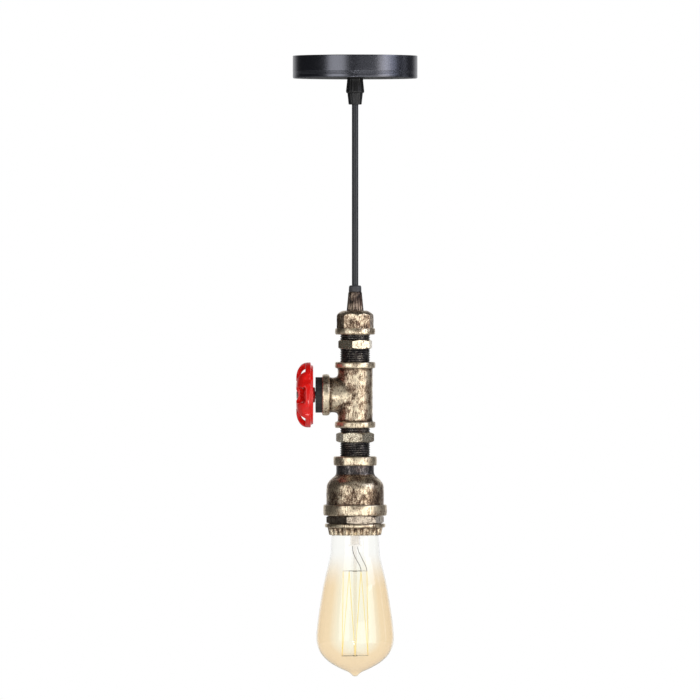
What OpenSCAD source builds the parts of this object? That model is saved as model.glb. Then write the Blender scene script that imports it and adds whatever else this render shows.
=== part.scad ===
// Pipe pendant light: a ceiling canopy, a round cord, and a lamp built from iron pipe fittings.
// A handwheel on the tee turns a rotary switch, and a pear-shaped bulb screws in from below.
// Millimetres, +Z up. The origin is on the ceiling plane, in the middle of the canopy.
// The handwheel points to -X, and the bulb hangs along -Z.

/* [Canopy] */
// Outside diameter of the canopy
canopy_d = 100; // [98:1:130]
// Height of the canopy below the ceiling
canopy_h = 18; // [18:0.5:26]
// Sheet thickness of the canopy
canopy_wall = 1.2; // [0.8:0.1:1.4]
// Outside radius of the canopy's lower edge
canopy_edge_r = 1.8; // [1.5:0.1:3]
// Width of the ceiling bracket
bracket_w = 16; // [14:0.5:24]
// Thickness of the ceiling bracket
bracket_t = 1.5; // [1:0.1:1.6]
// Distance between the bracket's two ceiling slots
slot_spacing = 60; // [50:1:68]
// Width of a ceiling slot
slot_w = 4.5; // [3.5:0.1:6]
// Length of a ceiling slot
slot_l = 12; // [8:0.5:15]
// Diameter of the grub screws that hold the canopy to the bracket
side_screw_d = 3; // [2.5:0.5:4]

/* [Cord] */
// Outside diameter of the cord
cord_d = 5.2; // [4.8:0.1:5.4]
// Length of cord that shows between the two cord grips
drop_shown = 145; // [60:5:400]
// Diameter of one insulated core
core_d = 2; // [1.6:0.1:2.1]
// How far the lamp may swing to each side, in degrees
swing_limit = 25; // [10:1:30]

/* [Canopy cord grip] */
// Diameter of the grip body where it meets the canopy
grip_top_d = 13; // [12.4:0.2:16]
// Largest diameter of the grip body
grip_flare_d = 15; // [13.5:0.2:18]
// Height of the grip body below the canopy
grip_body_h = 11.8; // [10:0.2:15]
// Height of the grip nut below the grip body
grip_nut_h = 9.3; // [8.6:0.2:13]
// Diameter of the grip nut at its top
grip_nut_top_d = 12.6; // [11.6:0.2:13.4]
// Diameter of the grip nut at its mouth
grip_nut_mouth_d = 10.4; // [9.8:0.2:11.4]
// Diameter of the threaded stem of both cord grips
stem_d = 10; // [9.6:0.2:10.8]

/* [Lamp cord grip] */
// Height of the collet that shows above the cone
collet_h = 5; // [3.5:0.25:7]
// Diameter of the collet
collet_d = 10.2; // [9.4:0.1:11]
// Height of the cone on the cap
cone_h = 15.2; // [12:0.2:20]
// Diameter of the cone at its foot
cone_foot_d = 13.8; // [12.6:0.2:17]

/* [Pipe fittings] */
// Outside diameter of the pipe thread
thread_d = 24; // [22.5:0.5:24.5]
// Pitch of the pipe thread
thread_pitch = 1.8; // [1.4:0.1:2.5]
// Depth of the pipe thread
thread_depth = 1; // [0.6:0.1:1.2]
// Bore of the nipples
pipe_bore_d = 18.5; // [17:0.5:19.5]
// Length of thread screwed into each fitting
thread_in = 11; // [8:0.5:11.5]
// Height of the cap
cap_h = 19.2; // [18.6:0.2:24]
// Distance across the corners of the eight-sided cap
cap_corner_d = 29.8; // [28.5:0.2:31]
// Outside diameter of the beads on the cap and tee
bead_d = 32.5; // [31.5:0.25:36]
// Height of those beads
bead_h = 5; // [4:0.25:6.5]
// Thread that shows between the cap and the upper hexagon
cap_gap = 4.2; // [2:0.2:8]
// Height of the upper hexagon
upper_hex_h = 7.4; // [5:0.2:11]
// Distance across the corners of the upper hexagon
upper_hex_d = 29; // [28.4:0.2:32]
// Thread that shows between the upper hexagon and the tee
tee_gap = 10.4; // [3:0.2:16]
// Length of the tee's run
tee_l = 52.8; // [50:0.2:62]
// Outside diameter of the tee's run and branch
tee_d = 28; // [27.5:0.25:30]
// Distance from the tee's axis to the end of its branch
branch_l = 26.4; // [26:0.2:31]
// Thread that shows between the tee and the lower hexagon
lower_gap = 3.7; // [2:0.1:8]
// Height of the lower hexagon
lower_hex_h = 8; // [5:0.2:11]
// Distance across the corners of the lower hexagon
lower_hex_d = 30.8; // [28.4:0.2:34]
// Thread that shows between the lower hexagon and the cup
cup_gap = 11.2; // [3:0.2:16]

/* [Lamp cup] */
// Height of the cup
cup_h = 47.4; // [47:0.2:58]
// Outside diameter of the cup
cup_d = 46; // [45.5:0.25:50]
// Outside diameter of the cup's neck
neck_d = 30.3; // [29:0.2:33]
// Outside diameter of the bead round the cup's mouth
cup_bead_d = 51.2; // [49:0.2:56]
// Height of that bead
cup_bead_h = 8.7; // [6:0.1:10]
// Outside diameter of the bead at the top of the neck
neck_bead_d = 35; // [33:0.2:38]
// Height of that bead
neck_bead_h = 7.3; // [5:0.1:8]
// Height of the hexagon below the cup
bush_hex_h = 6.6; // [4:0.1:8]
// Distance across the corners of that hexagon
bush_hex_d = 47.4; // [47:0.2:54]
// How far the toothed ring's flange stands out round the lampholder
ring_rim = 6.2; // [5:0.1:9]
// Height of the flange
ring_flange_h = 2.9; // [2:0.1:4]
// Height of the teeth below the flange
ring_teeth_h = 6.2; // [5:0.1:8]
// Number of teeth
ring_teeth = 24; // [16:1:30]

/* [Handwheel and switch] */
// Largest diameter of the handwheel
wheel_d = 53; // [46:0.5:60]
// Depth of the handwheel from its back edge to its front ring
wheel_h = 13.7; // [13:0.1:18]
// Number of the handwheel's lobes and spokes
spokes = 6; // [5:1:7]
// Diameter of the handwheel's hub
hub_d = 12.5; // [12:0.25:15]
// Diameter of the black switch bush where it shows
switch_bush_d = 28.6; // [27:0.2:31]
// Thickness of the part of the switch bush that shows
switch_bush_h = 5.4; // [4.6:0.1:8]
// Diameter of the switch spindle
spindle_d = 6; // [5.5:0.25:6.5]

/* [Bulb] */
// Largest diameter of the bulb
bulb_d = 62; // [58:1:72]
// Length of the bulb that shows below the lamp
bulb_shown = 113.5; // [95:0.5:135]
// Crest diameter of the bulb's screw cap
screw_cap_d = 26.4; // [25.4:0.1:26.6]
// Thickness of the bulb's glass
glass_t = 0.9; // [0.6:0.1:1]

/* [Hidden] */
$fn = 96;

// Clearances
overrun = 1;         // how far a cut runs past the face that it opens
thread_play = 0.05;  // radial play between two threads, and of a turning shaft
fit_play = 0.1;      // radial play of a screw, stem or sleeve in its hole
run_play = 0.3;      // play between two pieces that move past each other

// Canopy
canopy_r = canopy_d / 2;
canopy_in_r = canopy_r - canopy_wall;
canopy_floor_z = canopy_wall - canopy_h;
ear_out_r = canopy_in_r - run_play;
ear_drop = 13;
side_screw_z = -canopy_h / 2;
side_screw_r = side_screw_d / 2;
side_screw_l = 5;
screw_slot_w = 0.6;
screw_slot_depth = 0.8;
cable_hole_r = 6;
earth_screw_x = 15;
earth_screw_y = -3;
earth_screw_r = 2;
earth_head_r = 3.6;
earth_head_h = 1.8;
lug_t = 0.8;
lug_r = 3.4;
lug_tab_l = 5.5;

// Canopy cord grip
cord_r = cord_d / 2;
cord_hole_r = cord_r + fit_play;
stem_r = stem_d / 2;
stem_hole_r = stem_r + fit_play;
stem_past_nut = 0.8;
locknut_h = 2.5;
locknut_d = 15;
grip_top_z = canopy_floor_z + locknut_h + stem_past_nut;
grip_body_foot_z = -canopy_h - grip_body_h;
grip_mouth_z = grip_body_foot_z - grip_nut_h;
grip_edge = 0.8;
grip_spigot_h = 4.5;
grip_spigot_r = grip_nut_mouth_d / 2 - 0.6;
grip_seat_r = grip_spigot_r - 0.85;
grip_seat_h = 8.3;
jaws_h = 2.2;
jaw_slit_w = 0.7;
jaw_slits = 2;

// Cord: its two bending points are ball-shaped ends in shallow cups, one below the other
cup_rim_share = 0.5;
flare_h = 1.2;
mouth_r = cord_r / cos(swing_limit) + flare_h * tan(swing_limit) + run_play;
side_pivot_z = grip_mouth_z + flare_h;
bend_l = 10;
front_pivot_z = side_pivot_z - bend_l;
ball_play = 0.06;

// Lamp levels, from the cord's lower end down
lamp_mouth_z = grip_mouth_z - drop_shown;
cone_top_z = lamp_mouth_z - collet_h;
cap_top_z = cone_top_z - cone_h;
cap_foot_z = cap_top_z - cap_h;
upper_hex_z = cap_foot_z - cap_gap;
tee_top_z = upper_hex_z - upper_hex_h - tee_gap;
branch_z = tee_top_z - tee_l / 2;
tee_foot_z = tee_top_z - tee_l;
lower_hex_z = tee_foot_z - lower_gap;
cup_top_z = lower_hex_z - lower_hex_h - cup_gap;
cup_foot_z = cup_top_z - cup_h;
bush_foot_z = cup_foot_z - bush_hex_h;
ring_foot_z = bush_foot_z - ring_flange_h - ring_teeth_h;

// Lamp cord grip
collet_r = collet_d / 2;
collet_edge = 1.2;
collet_tail_r = 3.9;
collet_tail_h = 6;
cone_top_r = collet_r + 0.4;
cone_foot_r = cone_foot_d / 2;
flutes = 16;
flute_r = 0.9;
cap_roof = 3;
lamp_stem_foot_z = cap_top_z - cap_roof - lug_t - locknut_h - stem_past_nut;
cord_foot_z = lamp_stem_foot_z - 1.5;

// Pipe fittings
thread_r = thread_d / 2;
socket_r = thread_r + thread_play;
socket_depth = thread_in + 1;
socket_room_r = thread_r - thread_depth;
pipe_bore_r = pipe_bore_d / 2;
cap_top_r = 10;
cap_slope_h = 3;
cap_slope_r = 5;
bead_edge = 1.1;
hex_edge = 1;
hex_ease = 0.3;
cap_turn = 8;
upper_hex_turn = -98.5;
lower_hex_turn = -68;
bush_hex_turn = -106.4;
tee_r = tee_d / 2;
branch_bead_r = bead_d / 2 + 0.3;
branch_bead_h = 6;

// Lamp cup
cup_r = cup_d / 2;
neck_r = neck_d / 2;
neck_h = 7;
cup_wall = 3.2;
cup_room_r = cup_r - cup_wall;
neck_room_r = socket_r + 0.85;
neck_room_h = 14.6;
shoulder_a = 55;
shoulder_out_r = 6;
shoulder_in_r = 2.5;
shoulder_run = cup_r - neck_r - (shoulder_out_r + shoulder_in_r) * (1 - cos(shoulder_a));
shoulder_h = (shoulder_out_r + shoulder_in_r) * sin(shoulder_a) + shoulder_run / tan(shoulder_a);
shoulder_room_h = 10.2;
bush_thread_r = cup_room_r + 0.2;
bush_thread_h = 9;
skirt_r = bush_thread_r - 1.85;
skirt_wall = 1.8;
skirt_in_r = skirt_r - skirt_wall;
skirt_flange_r = cup_room_r - run_play;
skirt_flange_h = 3;
skirt_top_z = cup_foot_z + bush_thread_h + skirt_flange_h;
skirt_lift = 4.5;
skirt_foot_z = ring_foot_z + skirt_lift;
ring_r = skirt_r + ring_rim;
tooth_top_r = ring_r - 2.45;
tooth_foot_r = tooth_top_r - 1;
tooth_gap_r = 1.15;
ring_lip_r = skirt_r + 1.25;
ring_lip_h = skirt_lift - 0.5;
ring_edge = 0.6;

// Lampholder and the bulb's place in it
bulb_hidden = 34.5;
bulb_tip_z = ring_foot_z + bulb_hidden;
holder_floor_z = bulb_tip_z + 1.6;
core_r = skirt_flange_r - 1.2;
core_deck_t = 2.5;
core_neck_r = 13;
core_neck_h = 7.5;
shell_r = screw_cap_d / 2 + 0.6;
shell_wall = 0.5;
shell_ripple = 0.2;
shell_h = 22;
shell_out_r = shell_r + shell_ripple + shell_wall;
contact_t = 0.5;
contact_w = 6;
contact_l = 9;
rivet_r = 1;
rivet_x = 6;
holder_screw_x = 7.5;
holder_screw_r = 1.5;
holder_head_r = 2.5;
holder_head_h = 1.6;
holder_screw_l = 4;
core_top_z = holder_floor_z + core_deck_t + core_neck_h;

// Switch and handwheel, by their distance from the tee's axis
switch_bush_x = branch_l + switch_bush_h;
switch_bush_in = 9;
switch_case_l = 10.5;
switch_case_r = 9;
switch_case_x = branch_l - switch_bush_in;
switch_back_x = switch_case_x - switch_case_l;
switch_wall = 1.4;
switch_neck_r = 4.6;
switch_nut_h = 2;
switch_nut_d = 12;
switch_recess = 2.4;
bush_edge = 0.5;
spindle_r = spindle_d / 2;
spindle_flat_share = 0.6;
spindle_flat_r = spindle_r * spindle_flat_share;
rotor_r = switch_case_r - switch_wall - run_play;
rotor_h = 5;
rotor_lobes = 4;
rotor_notch_r = 2.2;
blade_w = 4;
blade_t = 0.6;
blade_l = 3;
blade_y = 4;
wheel_r = wheel_d / 2;
wheel_back_x = switch_bush_x + 1.8;
wheel_front_x = wheel_back_x + wheel_h;
wheel_lip_h = 1.9;
wheel_lip = 2.8;
wheel_wall = 3.4;
wheel_dome_h = 9.3;
wheel_dish = 3;
front_ring_share = 0.51;
front_ring_r = wheel_r * front_ring_share;
front_ring_w = 3;
rim_w = 5;
hub_front_x = wheel_front_x - wheel_dish;
hub_back_x = switch_bush_x + run_play;
spindle_end_x = hub_front_x - 3;
window_w = 12.6;
window_edge_r = 3;
window_in_r = front_ring_r + 1.6;
window_foot = 1.9;
spoke_w = 5;
scallop_r = 9;
scallop_depth = 1.3;
groove_r = 6;
groove_depth = 1.8;
washer_r = 4.6;
washer_t = 0.8;
wheel_screw_r = 1.5;
wheel_screw_in = 9;
wheel_head_r = 3;
wheel_head_h = 1.9;

// Cores
core_half = core_d / 2;
core_sides = 8;

// Bulb, downward from its centre contact
bulb_r = bulb_d / 2;
screw_cap_r = screw_cap_d / 2;
screw_cap_h = 20.5;
screw_cap_wall = 0.4;
screw_cap_depth = 0.6;
screw_cap_turns = 5;
cap_skirt_h = 2.3;
insulator_h = 4;
insulator_r = 9.4;
bulb_contact_h = 2;
bulb_contact_r = 4.8;
insulator_z = bulb_tip_z - bulb_contact_h;
screw_cap_z = insulator_z - insulator_h;
glass_in_cap = 1;
glass_top_z = screw_cap_z - screw_cap_h + glass_in_cap;
bulb_foot_z = ring_foot_z - bulb_shown;
glass_h = glass_top_z - bulb_foot_z;
glass_neck_r = screw_cap_r - screw_cap_wall - fit_play;
// The bulb's outline: distance below the glass's top as a share of its height, and radius as a share
glass_shares = [
    [0.041, 0.503], [0.073, 0.598], [0.114, 0.621], [0.196, 0.638], [0.286, 0.716], [0.392, 0.812],
    [0.498, 0.885], [0.604, 0.95], [0.7, 0.992], [0.76, 1], [0.816, 0.95], [0.865, 0.838],
    [0.912, 0.63], [0.948, 0.38], [0.968, 0.2], [0.982, 0.115], [0.996, 0.075],
];
glass_steps = 3;
stem_tube_r = 4;
stem_tube_wall = 0.9;
stem_tube_h = 18;
stem_collar_r = 5.2;
stem_collar_h = 1.4;
arbor_r = 1.3;
cage_top_share = 0.31;
cage_foot_share = 0.865;
cage_top_z = glass_top_z - glass_h * cage_top_share;
cage_foot_z = glass_top_z - glass_h * cage_foot_share;
cage_top_r = 9.5;
cage_foot_r = 12;
lead_reach_share = 0.8;
cage_corners = 12;
strands = 10;
wire_r = 0.4;
filament_r = 0.3;

// Spare cord: it spirals out on the lower layer and back in on the upper one
coil_gap = 0.6;
coil_step = cord_d + coil_gap;
coil_in_r = 23.7;
coil_turns = 4.5;
coil_climb_turns = 0.5;
coil_start_a = 26.6;
coil_rings = 24;
coil_sides = 6;
coil_tip_l = cord_d;
coil_tip_a = 12;
coil_low_z = canopy_floor_z + cord_r + 0.2;
lead_in_sides = 12;
lead_in_straight = 1.5;

// Routes of the cores in the lamp, from the cord's stripped end to the switch and the lampholder
lamp_live_route = [
    [1.2, -1.2, -212.9], [1.8, -1.3, -220.9], [3.6, -2, -229], [3.6, -3, -245], [1.8, -4, -258],
    [0, -4, -264], [-2, -4, -267.6], [-2.9, -4, -270.9],
];
lamp_switched_route = [
    [-2.9, 4, -272.9], [-2, 4, -276.2], [0, 4, -279.8], [1.8, 4, -286], [3.6, 2, -298.3],
    [7.4, 2.4, -321], [7.4, 2.4, -331.6], [7.5, 3.6, -334.2], [7.5, 3.6, -335.8], [7.5, 3.3, -336.8],
    [7.5, 2.5, -337.2],
];
lamp_neutral_route = [
    [-1.2, 0, -212.9], [-1.2, 0, -220.9], [2, 0, -245.5], [6, 0, -262], [7, 0, -272], [6, 0, -282],
    [2, 0, -298.3], [-7.4, -2.4, -321], [-7.4, -2.4, -331.6], [-7.5, -3.6, -334.2], [-7.5, -3.6, -335.8],
    [-7.5, -3.3, -336.8], [-7.5, -2.5, -337.2],
];
lamp_earth_route = [
    [1.2, 1.2, -212.9], [2.4, 1.3, -214.9], [5, 1, -215.8], [7.2, 0, -215.2], [8, 0, -213.5],
    [8.1, 0, -212], [9, 0, -210.7], [9, 0, -208.1],
];

// Terminal block
block_l = 17;
block_w = 10.6;
block_h = 11.5;
block_y = 13.4;
block_pitch = 8;
block_z = canopy_floor_z + run_play;
block_mid_z = block_z + 5;
insert_r = 1.9;
insert_bore_r = core_half + 0.2;
insert_l = block_w - 1.6;
clamp_r = 1.3;
clamp_y = 3;

// Route of the cord from the end of the coil, over the middle and down into the grip
lead_in_route = [
    [-14.6, -18.5, -7.9], [-11.4, -20.3, -7.2], [-8, -20.4, -6.4], [-5.1, -19.1, -5.6], [-2.9, -16.9, -5],
    [-1.4, -14.2, -4.7], [-0.4, -11.2, -4.7], [0, -8, -5.2], [0, -4.9, -6.5],
    [0, -2.4, -8.8], [0, -0.7, -11.8], [0, 0, -15.4], [0, 0, -20],
];
// Routes of the cores inside the canopy, from the cord's stripped end to their terminals
canopy_live_route = [
    [21.5, 5.3, -14.6], [21.6, 2.5, -14.4], [19.5, -1.6, -13.4], [15, -3.8, -12], [10, -3.4, -11.5],
    [6, -0.8, -11.5], [4.3, 3.4, -11.5], [4, 7, -11.5], [4, 12.6, -11.5],
];
canopy_neutral_route = [
    [22.5, 5.6, -12.8], [22.6, 3.2, -12.3], [21, 0.2, -11], [17, -0.6, -9.8], [10, 3.2, -9.2],
    [4, 5.2, -9.1], [0, 5, -9.4], [-3, 5.2, -10.6], [-4, 7.2, -11.5], [-4, 12.6, -11.5],
];
canopy_earth_route = [
    [23.5, 5.9, -14.6], [24, 3, -14.2], [23.4, -1, -12.5], [21.4, -3.6, -8.8], [20.2, -3.6, -4.8],
    [19.8, -3.2, -3.1], [19, -3, -2.6],
];

// Unit vector
function unit(v) = v / norm(v);

// Direction of a route at point i
function heading(p, i) = unit(p[min(i + 1, len(p) - 1)] - p[max(i - 1, 0)]);

// Side vector of a route at point i, carried along from the start without twist
function side(p, i) =
    let (d = heading(p, i), v = i == 0 ? (abs(d[2]) < 0.9 ? [0, 0, 1] : [1, 0, 0]) : side(p, i - 1))
    unit(v - d * (v * d));

// Points of one ring of a tube round point i of a route
function ring_points(p, i, r, sides) =
    let (d = heading(p, i), u = side(p, i), v = cross(d, u))
    [for (k = [0 : sides - 1]) p[i] + r * cos(360 * k / sides) * u + r * sin(360 * k / sides) * v];

// Arc of a turned outline, by its centre, radius and two angles
function arc(centre, r, from, to, steps = 6) = [
    for (k = [0 : steps])
        let (a = from + (to - from) * k / steps)
        centre + r * [cos(a), sin(a)],
];

// Arc of an oval in a turned outline, by its centre, half widths and two angles
function oval(centre, across, along, from, to, steps = 10) = [
    for (k = [0 : steps])
        let (a = from + (to - from) * k / steps)
        centre + [across * cos(a), along * sin(a)],
];

// Smooth curve through points, with so many steps between two of them
function spline_at(a, b, c, d, t) =
    0.5 * (2 * b + (c - a) * t + (2 * a - 5 * b + 4 * c - d) * t ^ 2 + (3 * b - a - 3 * c + d) * t ^ 3);
function smooth(p, steps) = [
    for (i = [0 : len(p) - 2], k = [0 : steps - 1])
        spline_at(p[max(i - 1, 0)], p[i], p[i + 1], p[min(i + 2, len(p) - 1)], k / steps),
    p[len(p) - 1],
];

// Outline of a thread, upward from z0 to z1, as rings of the given pitch
function thread_line(r, depth, pitch, z0, z1) =
    let (n = max(1, floor((z1 - z0) / pitch)), step = (z1 - z0) / n)
    [for (k = [0 : n - 1]) each [[r - depth, z0 + k * step], [r, z0 + (k + 0.5) * step]], [r - depth, z1]];

// A closed tube with flat ends along a route
module tube(p, r, sides) {
    n = len(p);
    points = [for (i = [0 : n - 1]) each ring_points(p, i, r, sides)];
    walls = [
        for (i = [0 : n - 2], k = [0 : sides - 1])
            let (a = i * sides + k, b = i * sides + (k + 1) % sides)
            each [[a, b + sides, b], [a, a + sides, b + sides]],
    ];
    ends = [
        for (k = [1 : sides - 2]) each [
            [0, k, k + 1],
            [(n - 1) * sides, (n - 1) * sides + k + 1, (n - 1) * sides + k],
        ],
    ];
    polyhedron(points, concat(walls, ends));
}

// A straight round rod between two points
module rod(a, b, r) {
    d = b - a;
    translate(a)
        rotate([0, acos(d[2] / norm(d)), atan2(d[1], d[0])])
        cylinder(r = r, h = norm(d), $fn = 16);
}

// A solid turned about the Z axis
module turned(points) {
    rotate_extrude()
        polygon(points);
}

// A cylinder from one level to another, either way round
module post(r, z0, z1) {
    translate([0, 0, min(z0, z1)])
        cylinder(r = r, h = abs(z1 - z0));
}

// A hexagon with turned corners, from its top level down
module hexagon(d, h, top_z, turn) {
    flat_r = d / 2 * cos(30) - hex_ease;
    edge_r = d / 2 + hex_ease;
    intersection() {
        translate([0, 0, top_z - h])
            rotate([0, 0, turn])
            cylinder(r = d / 2, h = h, $fn = 6);
        turned([
            [0, top_z - h], [flat_r, top_z - h], [edge_r, top_z - h + hex_edge],
            [edge_r, top_z - hex_edge], [flat_r, top_z], [0, top_z],
        ]);
    }
}

// A rounded bead, from its top level down
module bead(r, h, top_z) {
    turned(concat(
        [[0, top_z - h]],
        arc([r - bead_edge, top_z - h + bead_edge], bead_edge, -90, 0),
        arc([r - bead_edge, top_z - bead_edge], bead_edge, 0, 90),
        [[0, top_z]]
    ));
}

// Turns a piece that is drawn along +Z so that it points to -X on the tee's branch
module on_branch() {
    translate([0, 0, branch_z])
        rotate([0, -90, 0])
        children();
}

module slot_cut(r, z) {
    translate([-r - overrun, -screw_slot_w / 2, z - screw_slot_depth])
        cube([2 * r + 2 * overrun, screw_slot_w, screw_slot_depth + overrun]);
}

module both_sides() {
    children();
    mirror([1, 0, 0])
        children();
}

module ceiling_bracket() {
    color("gainsboro")
        difference() {
            intersection() {
                union() {
                    translate([-ear_out_r, -bracket_w / 2, -bracket_t])
                        cube([2 * ear_out_r, bracket_w, bracket_t]);
                    both_sides()
                        translate([ear_out_r - bracket_t, -bracket_w / 2, -ear_drop])
                        cube([bracket_t, bracket_w, ear_drop]);
                }
                post(ear_out_r, -ear_drop, 0);
            }
            both_sides() {
                for (shift = [-1, 1] * (slot_l - slot_w) / 2)
                    translate([slot_spacing / 2 + shift, 0, 0])
                        post(slot_w / 2, -bracket_t - overrun, overrun);
                translate([slot_spacing / 2 - (slot_l - slot_w) / 2, -slot_w / 2, -bracket_t - overrun])
                    cube([slot_l - slot_w, slot_w, bracket_t + 2 * overrun]);
                translate([ear_out_r - bracket_t - overrun, 0, side_screw_z])
                    rotate([0, 90, 0])
                    cylinder(r = side_screw_r + thread_play, h = bracket_t + 2 * overrun);
            }
            post(cable_hole_r, -bracket_t - overrun, overrun);
            translate([earth_screw_x, earth_screw_y, 0])
                post(earth_screw_r + thread_play, -bracket_t - overrun, overrun);
        }
}

module canopy_shell() {
    color("#1a1a1c")
        difference() {
            turned(concat(
                [[stem_hole_r, -canopy_h]],
                arc([canopy_r - canopy_edge_r, canopy_edge_r - canopy_h], canopy_edge_r, -90, 0),
                [[canopy_r, 0], [canopy_in_r, 0]],
                arc([canopy_r - canopy_edge_r, canopy_edge_r - canopy_h], canopy_edge_r - canopy_wall, 0, -90),
                [[stem_hole_r, canopy_floor_z]]
            ));
            translate([0, 0, side_screw_z])
                rotate([0, 90, 0])
                cylinder(r = side_screw_r + fit_play, h = 2 * canopy_r + 2 * overrun, center = true);
        }
}

module canopy_screws() {
    color("dimgray")
        both_sides()
        translate([canopy_r - side_screw_l, 0, side_screw_z])
        rotate([0, 90, 0])
        difference() {
            cylinder(r = side_screw_r, h = side_screw_l);
            slot_cut(side_screw_r, side_screw_l);
        }
}

module grip_body() {
    color("#202022")
        turned([
            [cord_hole_r, grip_top_z], [stem_r, grip_top_z], [stem_r, -canopy_h], [grip_top_d / 2, -canopy_h],
            [grip_flare_d / 2, grip_body_foot_z + grip_edge], [grip_flare_d / 2 - grip_edge, grip_body_foot_z],
            [grip_spigot_r, grip_body_foot_z], [grip_spigot_r, grip_body_foot_z - grip_spigot_h],
            [grip_seat_r, grip_body_foot_z - grip_spigot_h],
            [grip_seat_r, grip_body_foot_z - grip_spigot_h + grip_seat_h],
            [cord_hole_r, grip_body_foot_z - grip_spigot_h + grip_seat_h],
        ]);
}

module grip_locknut() {
    color("silver")
        difference() {
            hexagon(locknut_d, locknut_h, canopy_floor_z + locknut_h, 0);
            post(stem_r + thread_play, canopy_floor_z - overrun, canopy_floor_z + locknut_h + overrun);
        }
}

module grip_collet() {
    color("#303033")
        difference() {
            post(grip_seat_r - fit_play, grip_body_foot_z - grip_spigot_h - jaws_h,
                grip_body_foot_z - grip_spigot_h + grip_seat_h - thread_play);
            post(cord_r + thread_play, grip_mouth_z, 0);
            for (k = [0 : jaw_slits - 1])
                rotate([0, 0, 45 + 180 * k / jaw_slits])
                translate([-stem_r, -jaw_slit_w / 2, grip_mouth_z])
                cube([2 * stem_r, jaw_slit_w, grip_body_foot_z - grip_mouth_z]);
        }
}

module grip_nut() {
    top_z = grip_body_foot_z - thread_play;
    cone_z = grip_body_foot_z - grip_spigot_h - run_play;
    color("#202022")
        turned([
            [grip_spigot_r + thread_play, top_z], [grip_nut_top_d / 2, top_z],
            [grip_nut_mouth_d / 2, grip_mouth_z + grip_edge / 2],
            [grip_nut_mouth_d / 2 - grip_edge / 2, grip_mouth_z], [mouth_r, grip_mouth_z],
            [mouth_r, side_pivot_z], [grip_seat_r, cone_z - jaws_h], [grip_seat_r, cone_z],
            [grip_spigot_r + thread_play, cone_z],
        ]);
}

module at_clamps() {
    for (x = [-1, 1] * block_pitch / 2, y = [-1, 1] * clamp_y)
        translate([x, block_y + y, 0])
            children();
}

module terminal_block() {
    color("ivory")
        difference() {
            translate([-block_l / 2, block_y - block_w / 2, block_z])
                cube([block_l, block_w, block_h]);
            for (x = [-1, 1] * block_pitch / 2)
                translate([x, block_y + block_w / 2 + overrun, block_mid_z])
                    rotate([90, 0, 0])
                    cylinder(r = insert_r + thread_play, h = block_w + 2 * overrun);
            at_clamps()
                post(clamp_r + fit_play, block_mid_z, block_z + block_h + overrun);
        }
}

module terminal_inserts() {
    color("goldenrod")
        for (x = [-1, 1] * block_pitch / 2)
            translate([x, block_y, block_mid_z])
                rotate([90, 0, 0])
                difference() {
                    cylinder(r = insert_r, h = insert_l, center = true);
                    cylinder(r = insert_bore_r, h = insert_l + 2 * overrun, center = true);
                    for (y = [-1, 1] * clamp_y)
                        translate([0, 0, y])
                            rotate([-90, 0, 0])
                            cylinder(r = clamp_r + thread_play, h = insert_r + overrun);
                }
}

module terminal_screws() {
    foot_z = block_mid_z + insert_bore_r;
    top_z = block_z + block_h - insert_r;
    color("silver")
        at_clamps()
        difference() {
            post(clamp_r, foot_z, top_z);
            slot_cut(clamp_r, top_z);
        }
}

module canopy_live_core() {
    color("saddlebrown")
        tube(canopy_live_route, core_half, core_sides);
}

module canopy_neutral_core() {
    color("royalblue")
        tube(canopy_neutral_route, core_half, core_sides);
}

module canopy_earth_core() {
    color("olivedrab") {
        tube(canopy_earth_route, core_half, core_sides);
        translate([earth_screw_x, earth_screw_y, -bracket_t - lug_t])
            difference() {
                union() {
                    cylinder(r = lug_r, h = lug_t);
                    translate([0, -lug_r / 2, 0])
                        cube([lug_tab_l, lug_r, lug_t]);
                }
                translate([0, 0, -overrun])
                    cylinder(r = earth_screw_r + fit_play, h = lug_t + 2 * overrun);
            }
    }
}

module bracket_earth_screw() {
    head_z = -bracket_t - lug_t - earth_head_h;
    color("silver")
        translate([earth_screw_x, earth_screw_y, 0])
        difference() {
            union() {
                post(earth_screw_r, head_z, 0);
                post(earth_head_r, head_z, head_z + earth_head_h);
            }
            mirror([0, 0, 1])
                slot_cut(earth_head_r, -head_z);
        }
}

// A point of the coil's middle line, by the number of turns from its start
function coil_r(t) = coil_in_r + coil_step * min(t, coil_turns - t);
function coil_climb(t) = min(1, max(0, (t - (coil_turns - coil_climb_turns) / 2) / coil_climb_turns));
function coil_z(t) = coil_low_z + coil_step * (1 - cos(180 * coil_climb(t))) / 2;
function coil_at(t) =
    let (a = coil_start_a + 360 * t)
    [coil_r(t) * cos(a), coil_r(t) * sin(a), coil_z(t)];

// The coil's ends run straight, turned a little inwards, and the next length goes on in line with them
function coil_tip(t, way, further = 0) =
    let (a = coil_start_a + 360 * t + way * (90 + coil_tip_a))
    coil_at(t) + (coil_tip_l + further) * [cos(a), sin(a), 0];
coil_route = concat(
    [coil_tip(0, -1)],
    [for (k = [0 : coil_turns * coil_rings]) coil_at(k / coil_rings)],
    [coil_tip(coil_turns, 1)]
);

// Least distance between two turns, less the cord itself
coil_least_gap = min([
    for (i = [0 : len(coil_route) - 1], j = [i + coil_rings / 2 : len(coil_route) - 1])
        norm(coil_route[i] - coil_route[j]),
]) - cord_d;
coil_length = [for (i = [1 : len(coil_route) - 1]) norm(coil_route[i] - coil_route[i - 1])] *
    [for (i = [1 : len(coil_route) - 1]) 1];
echo(coil_least_gap = coil_least_gap, coil_length = coil_length);

module cord_spare_coil() {
    color("#333438")
        tube(coil_route, cord_r, coil_sides);
}

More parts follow.
